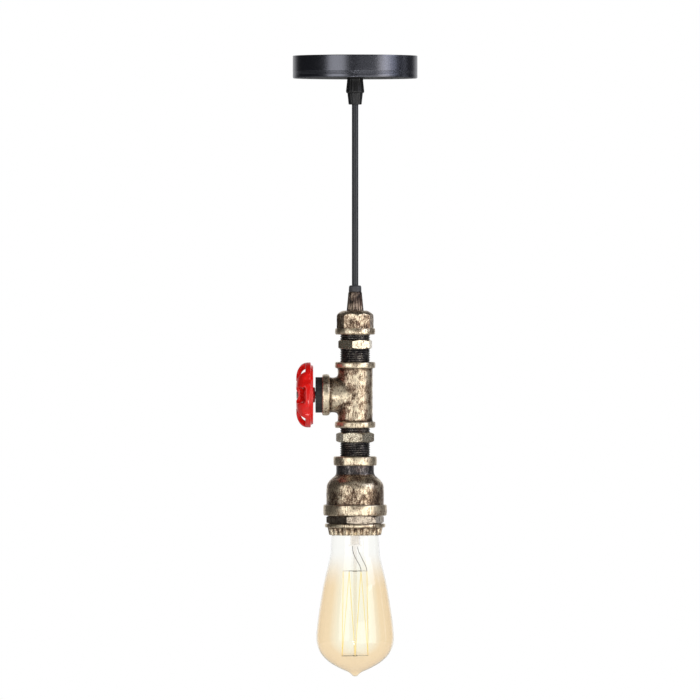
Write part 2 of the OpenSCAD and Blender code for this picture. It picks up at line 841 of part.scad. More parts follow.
module cord_lead_in() {
    start = [for (gap = [fit_play, lead_in_straight]) coil_tip(coil_turns, 1, gap)];
    color("#333438") {
        tube(concat(start, lead_in_route), cord_r / cos(90 / lead_in_sides), lead_in_sides);
        post(cord_r, lead_in_route[len(lead_in_route) - 1][2] + cord_r, side_pivot_z);
        translate([0, 0, side_pivot_z])
            sphere(r = cord_r);
    }
}

// A length of cord whose top end is a cup round the ball of the length above
module cupped_cord(pivot_z, foot_z) {
    difference() {
        post(cord_r, pivot_z - cord_r * cup_rim_share, foot_z);
        translate([0, 0, pivot_z])
            sphere(r = cord_r + ball_play);
    }
}

module cord_bend() {
    color("#333438") {
        cupped_cord(side_pivot_z, front_pivot_z);
        translate([0, 0, front_pivot_z])
            sphere(r = cord_r);
    }
}

module cord_drop() {
    color("#333438")
        cupped_cord(front_pivot_z, lamp_mouth_z);
}

module cord_end() {
    color("#333438")
        post(cord_r, lamp_mouth_z, cord_foot_z);
}

module lamp_grip_collet() {
    tail_z = cone_top_z - collet_tail_h;
    color("#2a2b2d")
        difference() {
            turned(concat(
                [[cord_r + thread_play, tail_z], [collet_tail_r, tail_z], [collet_tail_r, cone_top_z]],
                [[collet_r, cone_top_z]],
                arc([collet_r - collet_edge, lamp_mouth_z - collet_edge], collet_edge, 0, 90),
                [[cord_r + thread_play, lamp_mouth_z]]
            ));
            for (k = [0 : jaw_slits - 1])
                rotate([0, 0, 180 * k / jaw_slits])
                translate([-collet_r - overrun, -jaw_slit_w / 2, cone_top_z])
                cube([2 * collet_r + 2 * overrun, jaw_slit_w, collet_h + overrun]);
        }
}

module lamp_grip_cone() {
    color("#5a4638")
        difference() {
            turned([
                [collet_tail_r + thread_play, cone_top_z], [cone_top_r - grip_edge, cone_top_z],
                [cone_top_r, cone_top_z - grip_edge], [cone_foot_r, cap_top_z], [stem_r, cap_top_z],
                [stem_r, lamp_stem_foot_z], [cord_hole_r, lamp_stem_foot_z],
                [cord_hole_r, cone_top_z - collet_tail_h - fit_play],
                [collet_tail_r + thread_play, cone_top_z - collet_tail_h - fit_play],
            ]);
            for (k = [0 : flutes - 1])
                rotate([0, 0, 360 * k / flutes])
                translate([cone_foot_r + flute_r / 2, 0, cap_top_z - overrun])
                cylinder(r = flute_r, h = cone_h - collet_edge);
        }
}

module lamp_grip_locknut() {
    top_z = cap_top_z - cap_roof - lug_t;
    color("silver")
        difference() {
            hexagon(locknut_d, locknut_h, top_z, 0);
            post(stem_r + thread_play, top_z + overrun, top_z - locknut_h - overrun);
        }
}

module lamp_earth_lug() {
    top_z = cap_top_z - cap_roof;
    color("gold")
        difference() {
            union() {
                post(locknut_d / 2 - lug_t, top_z - lug_t, top_z);
                translate([0, -lug_r / 2, top_z - lug_t])
                    cube([socket_room_r - fit_play - lug_t, lug_r, lug_t]);
            }
            post(stem_hole_r, top_z - lug_t - overrun, top_z + overrun);
        }
}

module pipe_cap() {
    color("#8a7354")
        difference() {
            union() {
                intersection() {
                    translate([0, 0, cap_foot_z])
                        rotate([0, 0, cap_turn])
                        cylinder(r = cap_corner_d / 2, h = cap_h, $fn = 8);
                    turned(concat(
                        [[0, cap_foot_z], [cap_corner_d / 2 + hex_ease, cap_foot_z]],
                        [[cap_corner_d / 2 + hex_ease, cap_top_z - cap_slope_h]],
                        arc([cap_top_r, cap_top_z - cap_slope_r], cap_slope_r, 30, 90),
                        [[0, cap_top_z]]
                    ));
                }
                bead(bead_d / 2, bead_h, cap_foot_z + bead_h);
            }
            post(socket_r, cap_foot_z - overrun, cap_foot_z + socket_depth);
            post(socket_room_r, cap_foot_z, cap_top_z - cap_roof);
            post(stem_hole_r, cap_top_z - cap_roof - overrun, cap_top_z + overrun);
        }
}

// A nipple: two lengths of thread with a hexagon between them
module nipple(top_z, foot_z, hex_z, hex_h, hex_d, turn) {
    difference() {
        union() {
            turned(concat(
                [[0, foot_z]],
                thread_line(thread_r, thread_depth, thread_pitch, foot_z, hex_z - hex_h),
                thread_line(thread_r, thread_depth, thread_pitch, hex_z, top_z),
                [[0, top_z]]
            ));
            hexagon(hex_d, hex_h, hex_z, turn);
        }
        post(pipe_bore_r, foot_z - overrun, top_z + overrun);
    }
}

module upper_nipple() {
    color("#3a3027")
        nipple(cap_foot_z + thread_in, tee_top_z - thread_in, upper_hex_z, upper_hex_h, upper_hex_d,
            upper_hex_turn);
}

module tee() {
    color("#8a7354")
        difference() {
            union() {
                post(tee_r, tee_foot_z, tee_top_z);
                bead(bead_d / 2, bead_h, tee_top_z);
                bead(bead_d / 2, bead_h, tee_foot_z + bead_h);
                on_branch() {
                    cylinder(r = tee_r, h = branch_l);
                    bead(branch_bead_r, branch_bead_h, branch_l);
                }
            }
            post(socket_room_r, tee_foot_z, tee_top_z);
            post(socket_r, tee_top_z - socket_depth, tee_top_z + overrun);
            post(socket_r, tee_foot_z - overrun, tee_foot_z + socket_depth);
            on_branch() {
                cylinder(r = socket_room_r, h = branch_l);
                translate([0, 0, branch_l - socket_depth])
                    cylinder(r = socket_r, h = socket_depth + overrun);
            }
        }
}

module lower_nipple() {
    color("#3a3027")
        nipple(tee_foot_z + thread_in, cup_top_z - thread_in, lower_hex_z, lower_hex_h, lower_hex_d,
            lower_hex_turn);
}

module lamp_cup() {
    neck_z = cup_top_z - neck_bead_h;
    shoulder_z = neck_z - neck_h;
    room_z = cup_top_z - neck_room_h;
    color("#8a7354")
        difference() {
            union() {
                turned(concat(
                    [[0, cup_foot_z], [cup_r, cup_foot_z]],
                    arc([cup_r - shoulder_out_r, shoulder_z - shoulder_h], shoulder_out_r, 0, shoulder_a),
                    arc([neck_r + shoulder_in_r, shoulder_z], shoulder_in_r, 180 + shoulder_a, 180),
                    [[neck_r, cup_top_z], [0, cup_top_z]]
                ));
                bead(neck_bead_d / 2, neck_bead_h, cup_top_z);
                bead(cup_bead_d / 2, cup_bead_h, cup_foot_z + cup_bead_h);
            }
            post(socket_r, cup_top_z - socket_depth, cup_top_z + overrun);
            turned([
                [0, cup_top_z - socket_depth], [neck_room_r, cup_top_z - socket_depth], [neck_room_r, room_z],
                [cup_room_r, room_z - shoulder_room_h], [cup_room_r, cup_foot_z], [0, cup_foot_z],
            ]);
            post(bush_thread_r + thread_play, cup_foot_z - overrun, cup_foot_z + bush_thread_h);
        }
}

module hex_bush() {
    color("#6d5a44")
        difference() {
            union() {
                post(bush_thread_r, cup_foot_z - hex_edge, cup_foot_z + bush_thread_h);
                hexagon(bush_hex_d, bush_hex_h, cup_foot_z, bush_hex_turn);
            }
            post(skirt_r + fit_play, bush_foot_z - overrun, cup_foot_z + bush_thread_h + overrun);
        }
}

module toothed_ring() {
    teeth_z = bush_foot_z - ring_flange_h;
    color("#6d5a44")
        difference() {
            turned([
                [0, ring_foot_z], [tooth_foot_r, ring_foot_z], [tooth_top_r, teeth_z],
                [ring_r - ring_edge, teeth_z],
                [ring_r, teeth_z + ring_edge], [ring_r, bush_foot_z - ring_edge],
                [ring_r - ring_edge, bush_foot_z], [0, bush_foot_z],
            ]);
            post(skirt_r + thread_play, ring_foot_z - overrun, bush_foot_z + overrun);
            post(ring_lip_r, ring_foot_z - overrun, ring_foot_z + ring_lip_h);
            for (k = [0 : ring_teeth - 1])
                rotate([0, 0, 360 * k / ring_teeth])
                translate([tooth_top_r + tooth_gap_r / 2, 0, ring_foot_z - overrun])
                cylinder(r = tooth_gap_r, h = ring_teeth_h + overrun, $fn = 24);
        }
}

module holder_skirt() {
    flange_z = skirt_top_z - skirt_flange_h;
    color("#1c1c1e")
        turned([
            [skirt_in_r, skirt_top_z], [skirt_flange_r, skirt_top_z], [skirt_flange_r, flange_z],
            [skirt_r, flange_z], [skirt_r, skirt_foot_z], [skirt_in_r, skirt_foot_z],
        ]);
}

module holder_core() {
    deck_z = holder_floor_z + core_deck_t;
    color("whitesmoke")
        difference() {
            union() {
                post(core_r, skirt_top_z, deck_z);
                post(core_neck_r, deck_z, core_top_z);
            }
            post(shell_out_r + fit_play, skirt_top_z - overrun, holder_floor_z);
            both_sides()
                translate([holder_screw_x, 0, 0])
                post(holder_screw_r + thread_play, core_top_z - holder_screw_l, core_top_z + overrun);
            translate([rivet_x, 0, 0])
                post(rivet_r + thread_play, holder_floor_z - overrun, deck_z);
        }
}

module screw_shell() {
    foot_z = holder_floor_z - shell_h;
    inner = thread_line(shell_r + shell_ripple, shell_ripple, thread_pitch * 2, foot_z, holder_floor_z);
    outer = [for (p = inner) p + [shell_wall, 0]];
    color("goldenrod")
        turned(concat(inner, [for (i = [len(outer) - 1 : -1 : 0]) outer[i]]));
}

module centre_contact() {
    leaf_z = holder_floor_z - 2 * contact_t;
    color("goldenrod") {
        translate([rivet_x + rivet_r * 2 - contact_l, -contact_w / 2, leaf_z])
            cube([contact_l, contact_w, contact_t]);
        translate([rivet_x, 0, 0])
            post(rivet_r, leaf_z, holder_floor_z + core_deck_t - fit_play);
    }
}

module holder_terminal_screws() {
    top_z = core_top_z + holder_head_h + core_d;
    color("silver")
        both_sides()
        translate([holder_screw_x, 0, 0])
        difference() {
            union() {
                post(holder_screw_r, core_top_z - holder_screw_l + fit_play, top_z);
                post(holder_head_r, core_top_z + core_d, top_z);
            }
            slot_cut(holder_head_r, top_z);
        }
}

// Cores inside the lamp. They leave the cord in the cap and pass down through the nipples and the tee.
module lamp_live_core() {
    color("saddlebrown")
        tube(lamp_live_route, core_half, core_sides);
}

module lamp_switched_core() {
    color("peru")
        tube(lamp_switched_route, core_half, core_sides);
}

module lamp_neutral_core() {
    color("royalblue")
        tube(lamp_neutral_route, core_half, core_sides);
}

module lamp_earth_core() {
    color("olivedrab")
        tube(lamp_earth_route, core_half, core_sides);
}

module switch_bush() {
    color("#262b2c")
        on_branch()
        turned([
            [switch_neck_r + fit_play, switch_case_x], [thread_r, switch_case_x], [thread_r, branch_l],
            [switch_bush_d / 2, branch_l], [switch_bush_d / 2, switch_bush_x - bush_edge],
            [switch_bush_d / 2 - bush_edge, switch_bush_x], [switch_nut_d / 2 + run_play, switch_bush_x],
            [switch_nut_d / 2 + run_play, switch_bush_x - switch_recess],
            [switch_neck_r + fit_play, switch_bush_x - switch_recess],
        ]);
}

module switch_case() {
    cavity_r = switch_case_r - switch_wall;
    neck_end = switch_bush_x - run_play;
    color("#111214")
        on_branch()
        difference() {
            turned([
                [0, switch_back_x], [switch_case_r, switch_back_x], [switch_case_r, switch_case_x],
                [switch_neck_r, switch_case_x], [switch_neck_r, neck_end], [spindle_r + thread_play, neck_end],
                [spindle_r + thread_play, switch_case_x - switch_wall], [cavity_r, switch_case_x - switch_wall],
                [cavity_r, switch_back_x + switch_wall], [0, switch_back_x + switch_wall],
            ]);
            for (y = [-1, 1] * blade_y)
                translate([-blade_w / 2 - thread_play, y - blade_t / 2 - thread_play, switch_back_x - overrun])
                    cube([blade_w + fit_play, blade_t + fit_play, switch_wall + 2 * overrun]);
        }
}

module switch_nut() {
    foot = switch_bush_x - switch_recess;
    color("silver")
        on_branch()
        difference() {
            hexagon(switch_nut_d, switch_nut_h, foot + switch_nut_h, 0);
            post(switch_neck_r + thread_play, foot - overrun, foot + switch_nut_h + overrun);
        }
}

module switch_contacts() {
    color("goldenrod")
        on_branch()
        for (y = [-1, 1] * blade_y)
            translate([-blade_w / 2, y - blade_t / 2, switch_back_x - blade_l])
                cube([blade_w, blade_t, blade_l + switch_wall + blade_t]);
}

module switch_spindle() {
    color("silver")
        on_branch()
        difference() {
            post(spindle_r, switch_case_x - switch_wall - rotor_h, spindle_end_x);
            post(wheel_screw_r + thread_play, hub_front_x - wheel_screw_in, spindle_end_x + overrun);
            translate([spindle_flat_r, -spindle_r, hub_back_x])
                cube([spindle_r, 2 * spindle_r, spindle_end_x]);
        }
}

module switch_rotor() {
    top = switch_case_x - switch_wall - run_play;
    color("ivory")
        on_branch()
        difference() {
            post(rotor_r, top, top - rotor_h + run_play);
            post(spindle_r + thread_play, top - rotor_h - overrun, top + overrun);
            for (k = [0 : rotor_lobes - 1])
                rotate([0, 0, 360 * k / rotor_lobes])
                translate([rotor_r, 0, 0])
                post(rotor_notch_r, top - rotor_h - overrun, top + overrun);
        }
}

// A domed rim with a window in each lobe, and spokes from its front ring to the hub
module handwheel() {
    dome_x = wheel_front_x - wheel_dome_h;
    ring_in_r = front_ring_r - front_ring_w;
    across = wheel_r - front_ring_r;
    edge = [window_edge_r, window_edge_r];
    color("#e8241c")
        on_branch()
        difference() {
            union() {
                difference() {
                    turned(concat(
                        [[wheel_r - rim_w, wheel_back_x], [wheel_r - wheel_lip, wheel_back_x]],
                        [[wheel_r - wheel_lip, wheel_back_x + wheel_lip_h]],
                        [[wheel_r, wheel_back_x + wheel_lip_h]],
                        oval([front_ring_r, dome_x], across, wheel_dome_h, 0, 90),
                        [[ring_in_r, wheel_front_x], [ring_in_r, wheel_front_x - wheel_wall]],
                        oval([front_ring_r, dome_x], across - rim_w, wheel_dome_h - wheel_wall, 90, 0)
                    ));
                    for (k = [0 : spokes - 1])
                        rotate([0, 0, 360 * (k + 0.5) / spokes]) {
                            translate([0, 0, dome_x + window_foot])
                                linear_extrude(wheel_dome_h)
                                polygon(concat(
                                    arc([window_in_r, -window_w / 2] + edge, window_edge_r, 270, 180),
                                    arc([window_in_r + window_edge_r, window_w / 2 - window_edge_r],
                                        window_edge_r, 180, 90),
                                    [[wheel_r + overrun, window_w / 2], [wheel_r + overrun, -window_w / 2]]
                                ));
                            translate([0, 0, wheel_front_x + groove_r - groove_depth])
                                rotate([0, 90, 0])
                                cylinder(r = groove_r, h = wheel_r);
                        }
                }
                intersection() {
                    turned([
                        [0, hub_front_x - wheel_wall], [hub_d / 2, hub_front_x - wheel_wall],
                        [front_ring_r, wheel_front_x - wheel_wall],
                        [front_ring_r, wheel_front_x - groove_depth],
                        [ring_in_r, wheel_front_x - groove_depth], [hub_d / 2, hub_front_x], [0, hub_front_x],
                    ]);
                    for (k = [0 : spokes - 1])
                        rotate([0, 0, 360 * k / spokes])
                            translate([0, -spoke_w / 2, hub_back_x])
                            cube([wheel_r, spoke_w, wheel_front_x]);
                }
                post(hub_d / 2, hub_back_x, hub_front_x);
            }
            difference() {
                post(spindle_r + thread_play, hub_back_x - overrun, spindle_end_x + thread_play);
                translate([spindle_flat_r + thread_play, -spindle_r, hub_back_x])
                    cube([spindle_r, 2 * spindle_r, spindle_end_x]);
            }
            post(wheel_screw_r + fit_play, spindle_end_x, hub_front_x + overrun);
            for (k = [0 : spokes - 1])
                rotate([0, 0, 360 * k / spokes])
                    translate([wheel_r + scallop_r - scallop_depth, 0, wheel_back_x + wheel_lip_h])
                    cylinder(r = scallop_r, h = wheel_h);
        }
}

module wheel_washer() {
    color("silver")
        on_branch()
        difference() {
            post(washer_r, hub_front_x, hub_front_x + washer_t);
            post(wheel_screw_r + fit_play, hub_front_x - overrun, hub_front_x + washer_t + overrun);
        }
}

module wheel_screw() {
    head_x = hub_front_x + washer_t;
    color("silver")
        on_branch()
        difference() {
            union() {
                post(wheel_screw_r, hub_front_x - wheel_screw_in + run_play, head_x + wheel_head_h);
                post(wheel_head_r, head_x, head_x + wheel_head_h);
            }
            slot_cut(wheel_head_r, head_x + wheel_head_h);
        }
}

// The bulb's outline from its top edge down to its tip, and the same line one glass thickness in
glass_line = concat(
    [[glass_neck_r, glass_top_z], [glass_neck_r, glass_top_z - glass_in_cap - thread_play]],
    smooth([for (s = glass_shares) [s[1] * bulb_r, glass_top_z - s[0] * glass_h]], glass_steps)
);
glass_inner_line = [
    for (i = [0 : len(glass_line) - 2])
        let (d = unit(glass_line[min(i + 1, len(glass_line) - 1)] - glass_line[max(i - 1, 0)]))
        [max(fit_play, glass_line[i][0] + d[1] * glass_t), glass_line[i][1] - d[0] * glass_t],
];

module bulb_glass() {
    inner_count = len(glass_inner_line);
    color([0.95, 0.85, 0.6, 0.35])
        turned(concat(
            [for (i = [inner_count - 1 : -1 : 1]) glass_inner_line[i]],
            [[glass_neck_r - glass_t, glass_top_z]],
            glass_line,
            [[0, bulb_foot_z], [0, glass_inner_line[inner_count - 1][1]]]
        ));
}

module bulb_screw_cap() {
    root_r = screw_cap_r - screw_cap_depth;
    foot_z = screw_cap_z - screw_cap_h;
    thread_z = foot_z + cap_skirt_h;
    pitch = (screw_cap_h - cap_skirt_h - screw_cap_depth * 2) / screw_cap_turns;
    outer = concat(
        [[screw_cap_r, foot_z], [screw_cap_r, thread_z - fit_play]],
        thread_line(screw_cap_r, screw_cap_depth, pitch, thread_z, thread_z + screw_cap_turns * pitch),
        [[insulator_r, screw_cap_z]]
    );
    inner = concat(
        [[insulator_r, screw_cap_z - screw_cap_wall]],
        [[root_r - screw_cap_wall, thread_z + screw_cap_turns * pitch], [root_r - screw_cap_wall, thread_z]],
        [[screw_cap_r - screw_cap_wall, thread_z - fit_play]],
        [[screw_cap_r - screw_cap_wall, foot_z]]
    );
    color("#b8a878")
        turned(concat(outer, inner));
}

module bulb_insulator() {
    color("#141414")
        turned([
            [0, screw_cap_z], [insulator_r - fit_play, screw_cap_z], [bulb_contact_r, insulator_z],
            [0, insulator_z],
        ]);
}

module bulb_contact() {
    color("silver")
        turned([
            [0, insulator_z], [bulb_contact_r - fit_play, insulator_z], [bulb_contact_r / 2, bulb_tip_z],
            [0, bulb_tip_z],
        ]);
}

module bulb_stem() {
    foot_z = glass_top_z - stem_tube_h;
    color([0.95, 0.95, 0.9, 0.4]) {
        turned([
            [glass_neck_r - glass_t - thread_play, glass_top_z],
            [glass_neck_r - glass_t - thread_play, glass_top_z - stem_tube_wall],
            [stem_tube_r + stem_tube_wall, glass_top_z - stem_tube_h / 3],
            [stem_tube_r, glass_top_z - stem_tube_h / 2], [stem_tube_r, foot_z + stem_collar_h],
            [stem_collar_r, foot_z + stem_collar_h], [stem_collar_r, foot_z], [arbor_r, foot_z],
            [arbor_r, cage_foot_z], [0, cage_foot_z], [0, foot_z + stem_collar_h],
            [stem_tube_r - stem_tube_wall, foot_z + stem_collar_h],
            [stem_tube_r - stem_tube_wall, glass_top_z - stem_tube_h / 2],
            [stem_tube_r, glass_top_z - stem_tube_h / 3],
            [glass_neck_r - glass_t * 2 - thread_play, glass_top_z],
        ]);
    }
}

// A corner of the filament cage: even ones are at the top, odd ones at the foot
function cage_corner(k) =
    let (a = 360 * k / cage_corners, top = k % 2 == 0, r = top ? cage_top_r : cage_foot_r)
    [r * cos(a), r * sin(a), top ? cage_top_z : cage_foot_z];

// The point on the ring round the arbor from which a corner's hook starts
function cage_hub(k) =
    let (a = 360 * k / cage_corners)
    [(arbor_r + wire_r) * cos(a), (arbor_r + wire_r) * sin(a), cage_corner(k)[2]];

module bulb_lead_wires() {
    foot_z = glass_top_z - stem_tube_h;
    color("silver")
        for (lead = [[-1, strands], [1, 0]])
            let (start = [lead[0] * stem_tube_r / 2, 0, 0])
            let (end = cage_corner(lead[1]), far = [end[0], end[1], 0])
            tube([
                start + [0, 0, foot_z + thread_play], start + [0, 0, foot_z - stem_tube_r],
                start + (far - start) * lead_reach_share + [0, 0, cage_top_z + stem_tube_r],
                far + [0, 0, cage_top_z + wire_r + thread_play],
            ], wire_r, 6);
}

module filament_supports() {
    color("silver") {
        for (z = [cage_top_z, cage_foot_z])
            difference() {
                post(arbor_r + 2 * wire_r, z - wire_r, z + wire_r);
                post(arbor_r + thread_play, z - wire_r - overrun, z + wire_r + overrun);
            }
        for (k = [0 : strands])
            rod(cage_hub(k), cage_corner(k), wire_r / 2);
    }
}

// The filament runs up and down between the corners, with a small bend at each
filament_bend_share = 0.03;
filament_route = [
    for (k = [0 : strands - 1]) each [
        cage_corner(k),
        cage_corner(k) + (cage_corner(k + 1) - cage_corner(k)) * filament_bend_share,
        cage_corner(k + 1) + (cage_corner(k) - cage_corner(k + 1)) * filament_bend_share,
    ],
    cage_corner(strands),
];

module filament() {
    color("#d8902c")
        tube(filament_route, filament_r, 6);
}

ceiling_bracket();
canopy_shell();
canopy_screws();
grip_body();
grip_locknut();
grip_collet();
grip_nut();
terminal_block();
terminal_inserts();
terminal_screws();
canopy_live_core();
canopy_neutral_core();
canopy_earth_core();
bracket_earth_screw();
cord_spare_coil();
cord_lead_in();
cord_bend();
cord_drop();
cord_end();
lamp_grip_collet();
lamp_grip_cone();
lamp_grip_locknut();
lamp_earth_lug();
pipe_cap();
upper_nipple();
tee();
lower_nipple();
lamp_cup();
hex_bush();
toothed_ring();
holder_skirt();
holder_core();
screw_shell();
centre_contact();
holder_terminal_screws();
lamp_live_core();
lamp_switched_core();
lamp_neutral_core();
lamp_earth_core();
switch_bush();
switch_case();
switch_nut();
switch_contacts();
switch_spindle();
switch_rotor();
handwheel();
wheel_washer();
wheel_screw();
bulb_glass();
bulb_screw_cap();
bulb_insulator();
bulb_contact();
bulb_stem();
bulb_lead_wires();
filament_supports();
filament();
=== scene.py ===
import math

import bmesh
import bpy
import numpy as np
from bpy.props import FloatProperty, FloatVectorProperty, IntProperty, PointerProperty
from bpy.types import Operator, Panel, PropertyGroup
from mathutils import Matrix, Vector, noise


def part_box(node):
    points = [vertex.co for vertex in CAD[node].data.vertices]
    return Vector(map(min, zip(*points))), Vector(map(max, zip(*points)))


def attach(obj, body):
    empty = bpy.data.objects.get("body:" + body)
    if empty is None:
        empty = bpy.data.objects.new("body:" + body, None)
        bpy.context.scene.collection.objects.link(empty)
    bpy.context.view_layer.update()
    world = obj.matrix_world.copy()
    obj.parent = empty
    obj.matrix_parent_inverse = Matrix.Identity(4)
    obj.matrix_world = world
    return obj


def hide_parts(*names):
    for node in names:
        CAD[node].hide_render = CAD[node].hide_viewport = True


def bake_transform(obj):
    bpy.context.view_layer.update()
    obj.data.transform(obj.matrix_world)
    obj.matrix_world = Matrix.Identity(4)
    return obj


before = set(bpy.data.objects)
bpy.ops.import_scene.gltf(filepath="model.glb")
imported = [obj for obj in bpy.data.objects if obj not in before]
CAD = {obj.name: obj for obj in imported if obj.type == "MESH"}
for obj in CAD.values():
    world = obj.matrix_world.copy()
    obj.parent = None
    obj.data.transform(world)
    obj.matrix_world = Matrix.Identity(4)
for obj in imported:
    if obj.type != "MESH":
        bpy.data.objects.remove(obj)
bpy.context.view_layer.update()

bl_info = {
    "name": "Pipe pendant light",
    "version": (1, 0, 0),
    "blender": (4, 5, 0),
    "location": "3D View > Sidebar > Pendant",
    "description": "Castings, cord, glass and finishes of a pendant light built from pipe fittings",
    "category": "Object",
}

MM = 0.001
TURN = 2 * math.pi


# Colours and materials

def linear(code):
    """A hex colour, as a screen shows it, as linear red, green, blue and alpha."""
    parts = [int(code[i:i + 2], 16) / 255 for i in (1, 3, 5)]
    return tuple(c / 12.92 if c <= 0.04045 else ((c + 0.055) / 1.055) ** 2.4 for c in parts) + (1.0,)


def tone(code):
    """A hex colour, or one of the user's colours by its name, in linear light."""
    if code.startswith("#"):
        return linear(code)
    return tuple(getattr(bpy.context.scene.pendant_colours, code))


def add(tree, kind, inputs=None, **settings):
    """Adds a shader node. Each input is a value, an output to link, or a node to link by the first
    output that it uses."""
    node = tree.nodes.new("ShaderNode" + kind)
    for key, value in settings.items():
        setattr(node, key, value)
    for key, value in (inputs or {}).items():
        if isinstance(value, bpy.types.Node):
            value = next(output for output in value.outputs if output.enabled)
        if isinstance(value, bpy.types.NodeSocket):
            tree.links.new(value, node.inputs[key])
        else:
            node.inputs[key].default_value = value
    return node


def blank_material(name):
    """An empty material, its node tree, and the object's own coordinates."""
    made = bpy.data.materials.new(name)
    made.use_nodes = True
    tree = made.node_tree
    tree.nodes.clear()
    return made, tree, add(tree, "TexCoord").outputs["Object"]


def surfaced(made, **surface):
    """Ends a material with its shader. Each input is what add() takes."""
    tree = made.node_tree
    shader = add(tree, "BsdfPrincipled", {k.replace("_", " "): v for k, v in surface.items()})
    add(tree, "OutputMaterial", {"Surface": shader})
    return made


def plain_finish(name, low, high, roughness, spread=0.08, grain_mm=0.6, depth_mm=0.01,
                 squeeze=1, **surface):
    """A finish between two close tones, with the faint mottle, uneven gloss and fine grain of its
    making. A squeeze above 1 shortens the grain along the lamp, and one below 1 draws it out."""
    made, tree, place = blank_material(name)
    laid = add(tree, "Mapping", {"Vector": place, "Scale": (1, 1, squeeze)})
    mottle_mm = 9 * grain_mm
    grain, mottle = (
        add(tree, "TexNoise", {"Vector": laid, "Scale": 1 / (size * MM), "Detail": detail})
        for size, detail in ((grain_mm, 3.0), (mottle_mm, 2.0)))
    colour = add(tree, "Mix", {0: mottle, 6: tone(low), 7: tone(high)}, data_type="RGBA")
    gloss = add(tree, "MapRange", {
        "Value": grain, "From Min": 0.3, "From Max": 0.7,
        "To Min": roughness - spread / 2, "To Max": roughness + spread / 2})
    relief = add(tree, "Bump", {"Height": grain, "Distance": depth_mm * MM})
    return surfaced(made, Base_Color=colour, Roughness=gloss, Normal=relief, **surface)


def antique_bronze(name, base, mid, gilt, cover, streak, grain_mm, speckle, smooth=0.3):
    """Cast iron painted brown-black and dry-brushed with gold by hand: the eye gets dark pits and
    lengthwise streaks, rust-brown patches, and bright worn edges where the brush rubbed hardest.
    A spot's tone goes from base through mid to gilt with the gold on it, on average the cover. A
    streak below 1 draws the brush marks out along the lamp."""
    made, tree, place = blank_material(name)
    laid = add(tree, "Mapping", {"Vector": place, "Scale": (1, 1, streak)})
    patch_mm, pit_mm, rust_mm, relief_mm = 6, 0.8, 9, 0.11
    brush, patch, pits, rust = (
        add(tree, "TexNoise", {
            "Vector": where, "Scale": 1 / (size * MM), "Detail": detail, "Roughness": rough})
        for where, size, detail, rough in (
            (laid, grain_mm, 6.0, 0.72), (place, patch_mm, 3.0, 0.5), (place, pit_mm, 3.0, 0.65),
            (place, rust_mm, 3.0, 0.5)))
    rub = add(tree, "Attribute", attribute_name="gold").outputs["Fac"]
    edge = add(tree, "NewGeometry").outputs["Pointiness"]
    total = cover
    for source, weight in ((brush, 2.4), (patch, 1.5), (pits, 3.8 * speckle), (rub, 0.55), (edge, 2.6)):
        off = add(tree, "Math", {0: source, 1: 0.5}, operation="SUBTRACT")
        total = add(tree, "Math", {0: off, 1: weight, 2: total}, operation="MULTIPLY_ADD")
    mask = add(tree, "Clamp", {"Value": total})
    ramp = add(tree, "ValToRGB", {"Fac": mask})
    stops = ramp.color_ramp.elements
    stops[0].position, stops[0].color = 0.06, tone(base)
    stops[1].position, stops[1].color = 0.86, tone(gilt)
    stops.new(0.42).color = tone(mid)
    rusty = add(tree, "MapRange", {
        "Value": rust, "From Min": 0.58, "From Max": 0.74, "To Min": 0.0, "To Max": 0.4})
    colour = add(tree, "Mix", {0: rusty, 6: ramp, 7: tone("rust")}, data_type="RGBA")
    metal = add(tree, "MapRange", {"Value": mask, "To Min": 0.8, "To Max": 0.97})
    gloss = add(tree, "MapRange", {"Value": mask, "To Min": smooth + 0.12, "To Max": smooth})
    height = add(tree, "Math", {0: brush, 1: pits}, operation="ADD")
    relief = add(tree, "Bump", {"Height": height, "Distance": relief_mm * MM})
    return surfaced(made, Base_Color=colour, Metallic=metal, Roughness=gloss, Normal=relief)


def two_tone_insulation():
    """Green PVC with an extruded yellow stripe, as an earth core has: two colours along its length."""
    made, tree, place = blank_material("earth_core_pvc")
    stripe_mm = 9
    wave = add(tree, "TexWave", {"Vector": place, "Scale": 1 / (stripe_mm * MM)}, bands_direction="DIAGONAL")
    step = add(tree, "Math", {0: wave.outputs["Fac"], 1: 0.55}, operation="GREATER_THAN")
    colour = add(tree, "Mix", {0: step, 6: tone("#2f7d32"), 7: tone("#d8c02a")}, data_type="RGBA")
    return surfaced(made, Base_Color=colour, Roughness=0.42)


def lamp_glass():
    """Blown soda-lime glass with a baked amber tint: clear at the neck, honey-coloured lower down, and
    deepest where the eye meets the wall at a slant."""
    made, tree, place = blank_material("amber_lamp_glass")
    height = add(tree, "SeparateXYZ", {0: place}).outputs["Z"]
    lower = add(tree, "MapRange", {
        "Value": height, "From Min": -0.429, "From Max": -0.397, "To Min": 1.0, "To Max": 0.0},
        interpolation_type="SMOOTHSTEP")
    facing = add(tree, "LayerWeight", {"Blend": 0.42})
    wall = add(tree, "ValToRGB", {"Fac": facing.outputs["Facing"]})
    stops = wall.color_ramp.elements
    stops[0].position, stops[0].color = 0.02, tone("#fefdf2")
    stops[1].position, stops[1].color = 0.8, tone("#fdf2de")
    stops.new(0.24).color = tone("glass_tint")
    colour = add(tree, "Mix", {0: lower, 6: tone("#fffffd"), 7: wall}, data_type="RGBA")
    return surfaced(made, Base_Color=colour, Roughness=0.0, IOR=1.46, Transmission_Weight=1.0)


def stem_glass():
    """Drawn glass tube, clear, seen only by its edges."""
    made = blank_material("clear_stem_glass")[0]
    return surfaced(made, Base_Color=tone("#f6f2ee"), Roughness=0.0, IOR=1.5, Transmission_Weight=1.0)


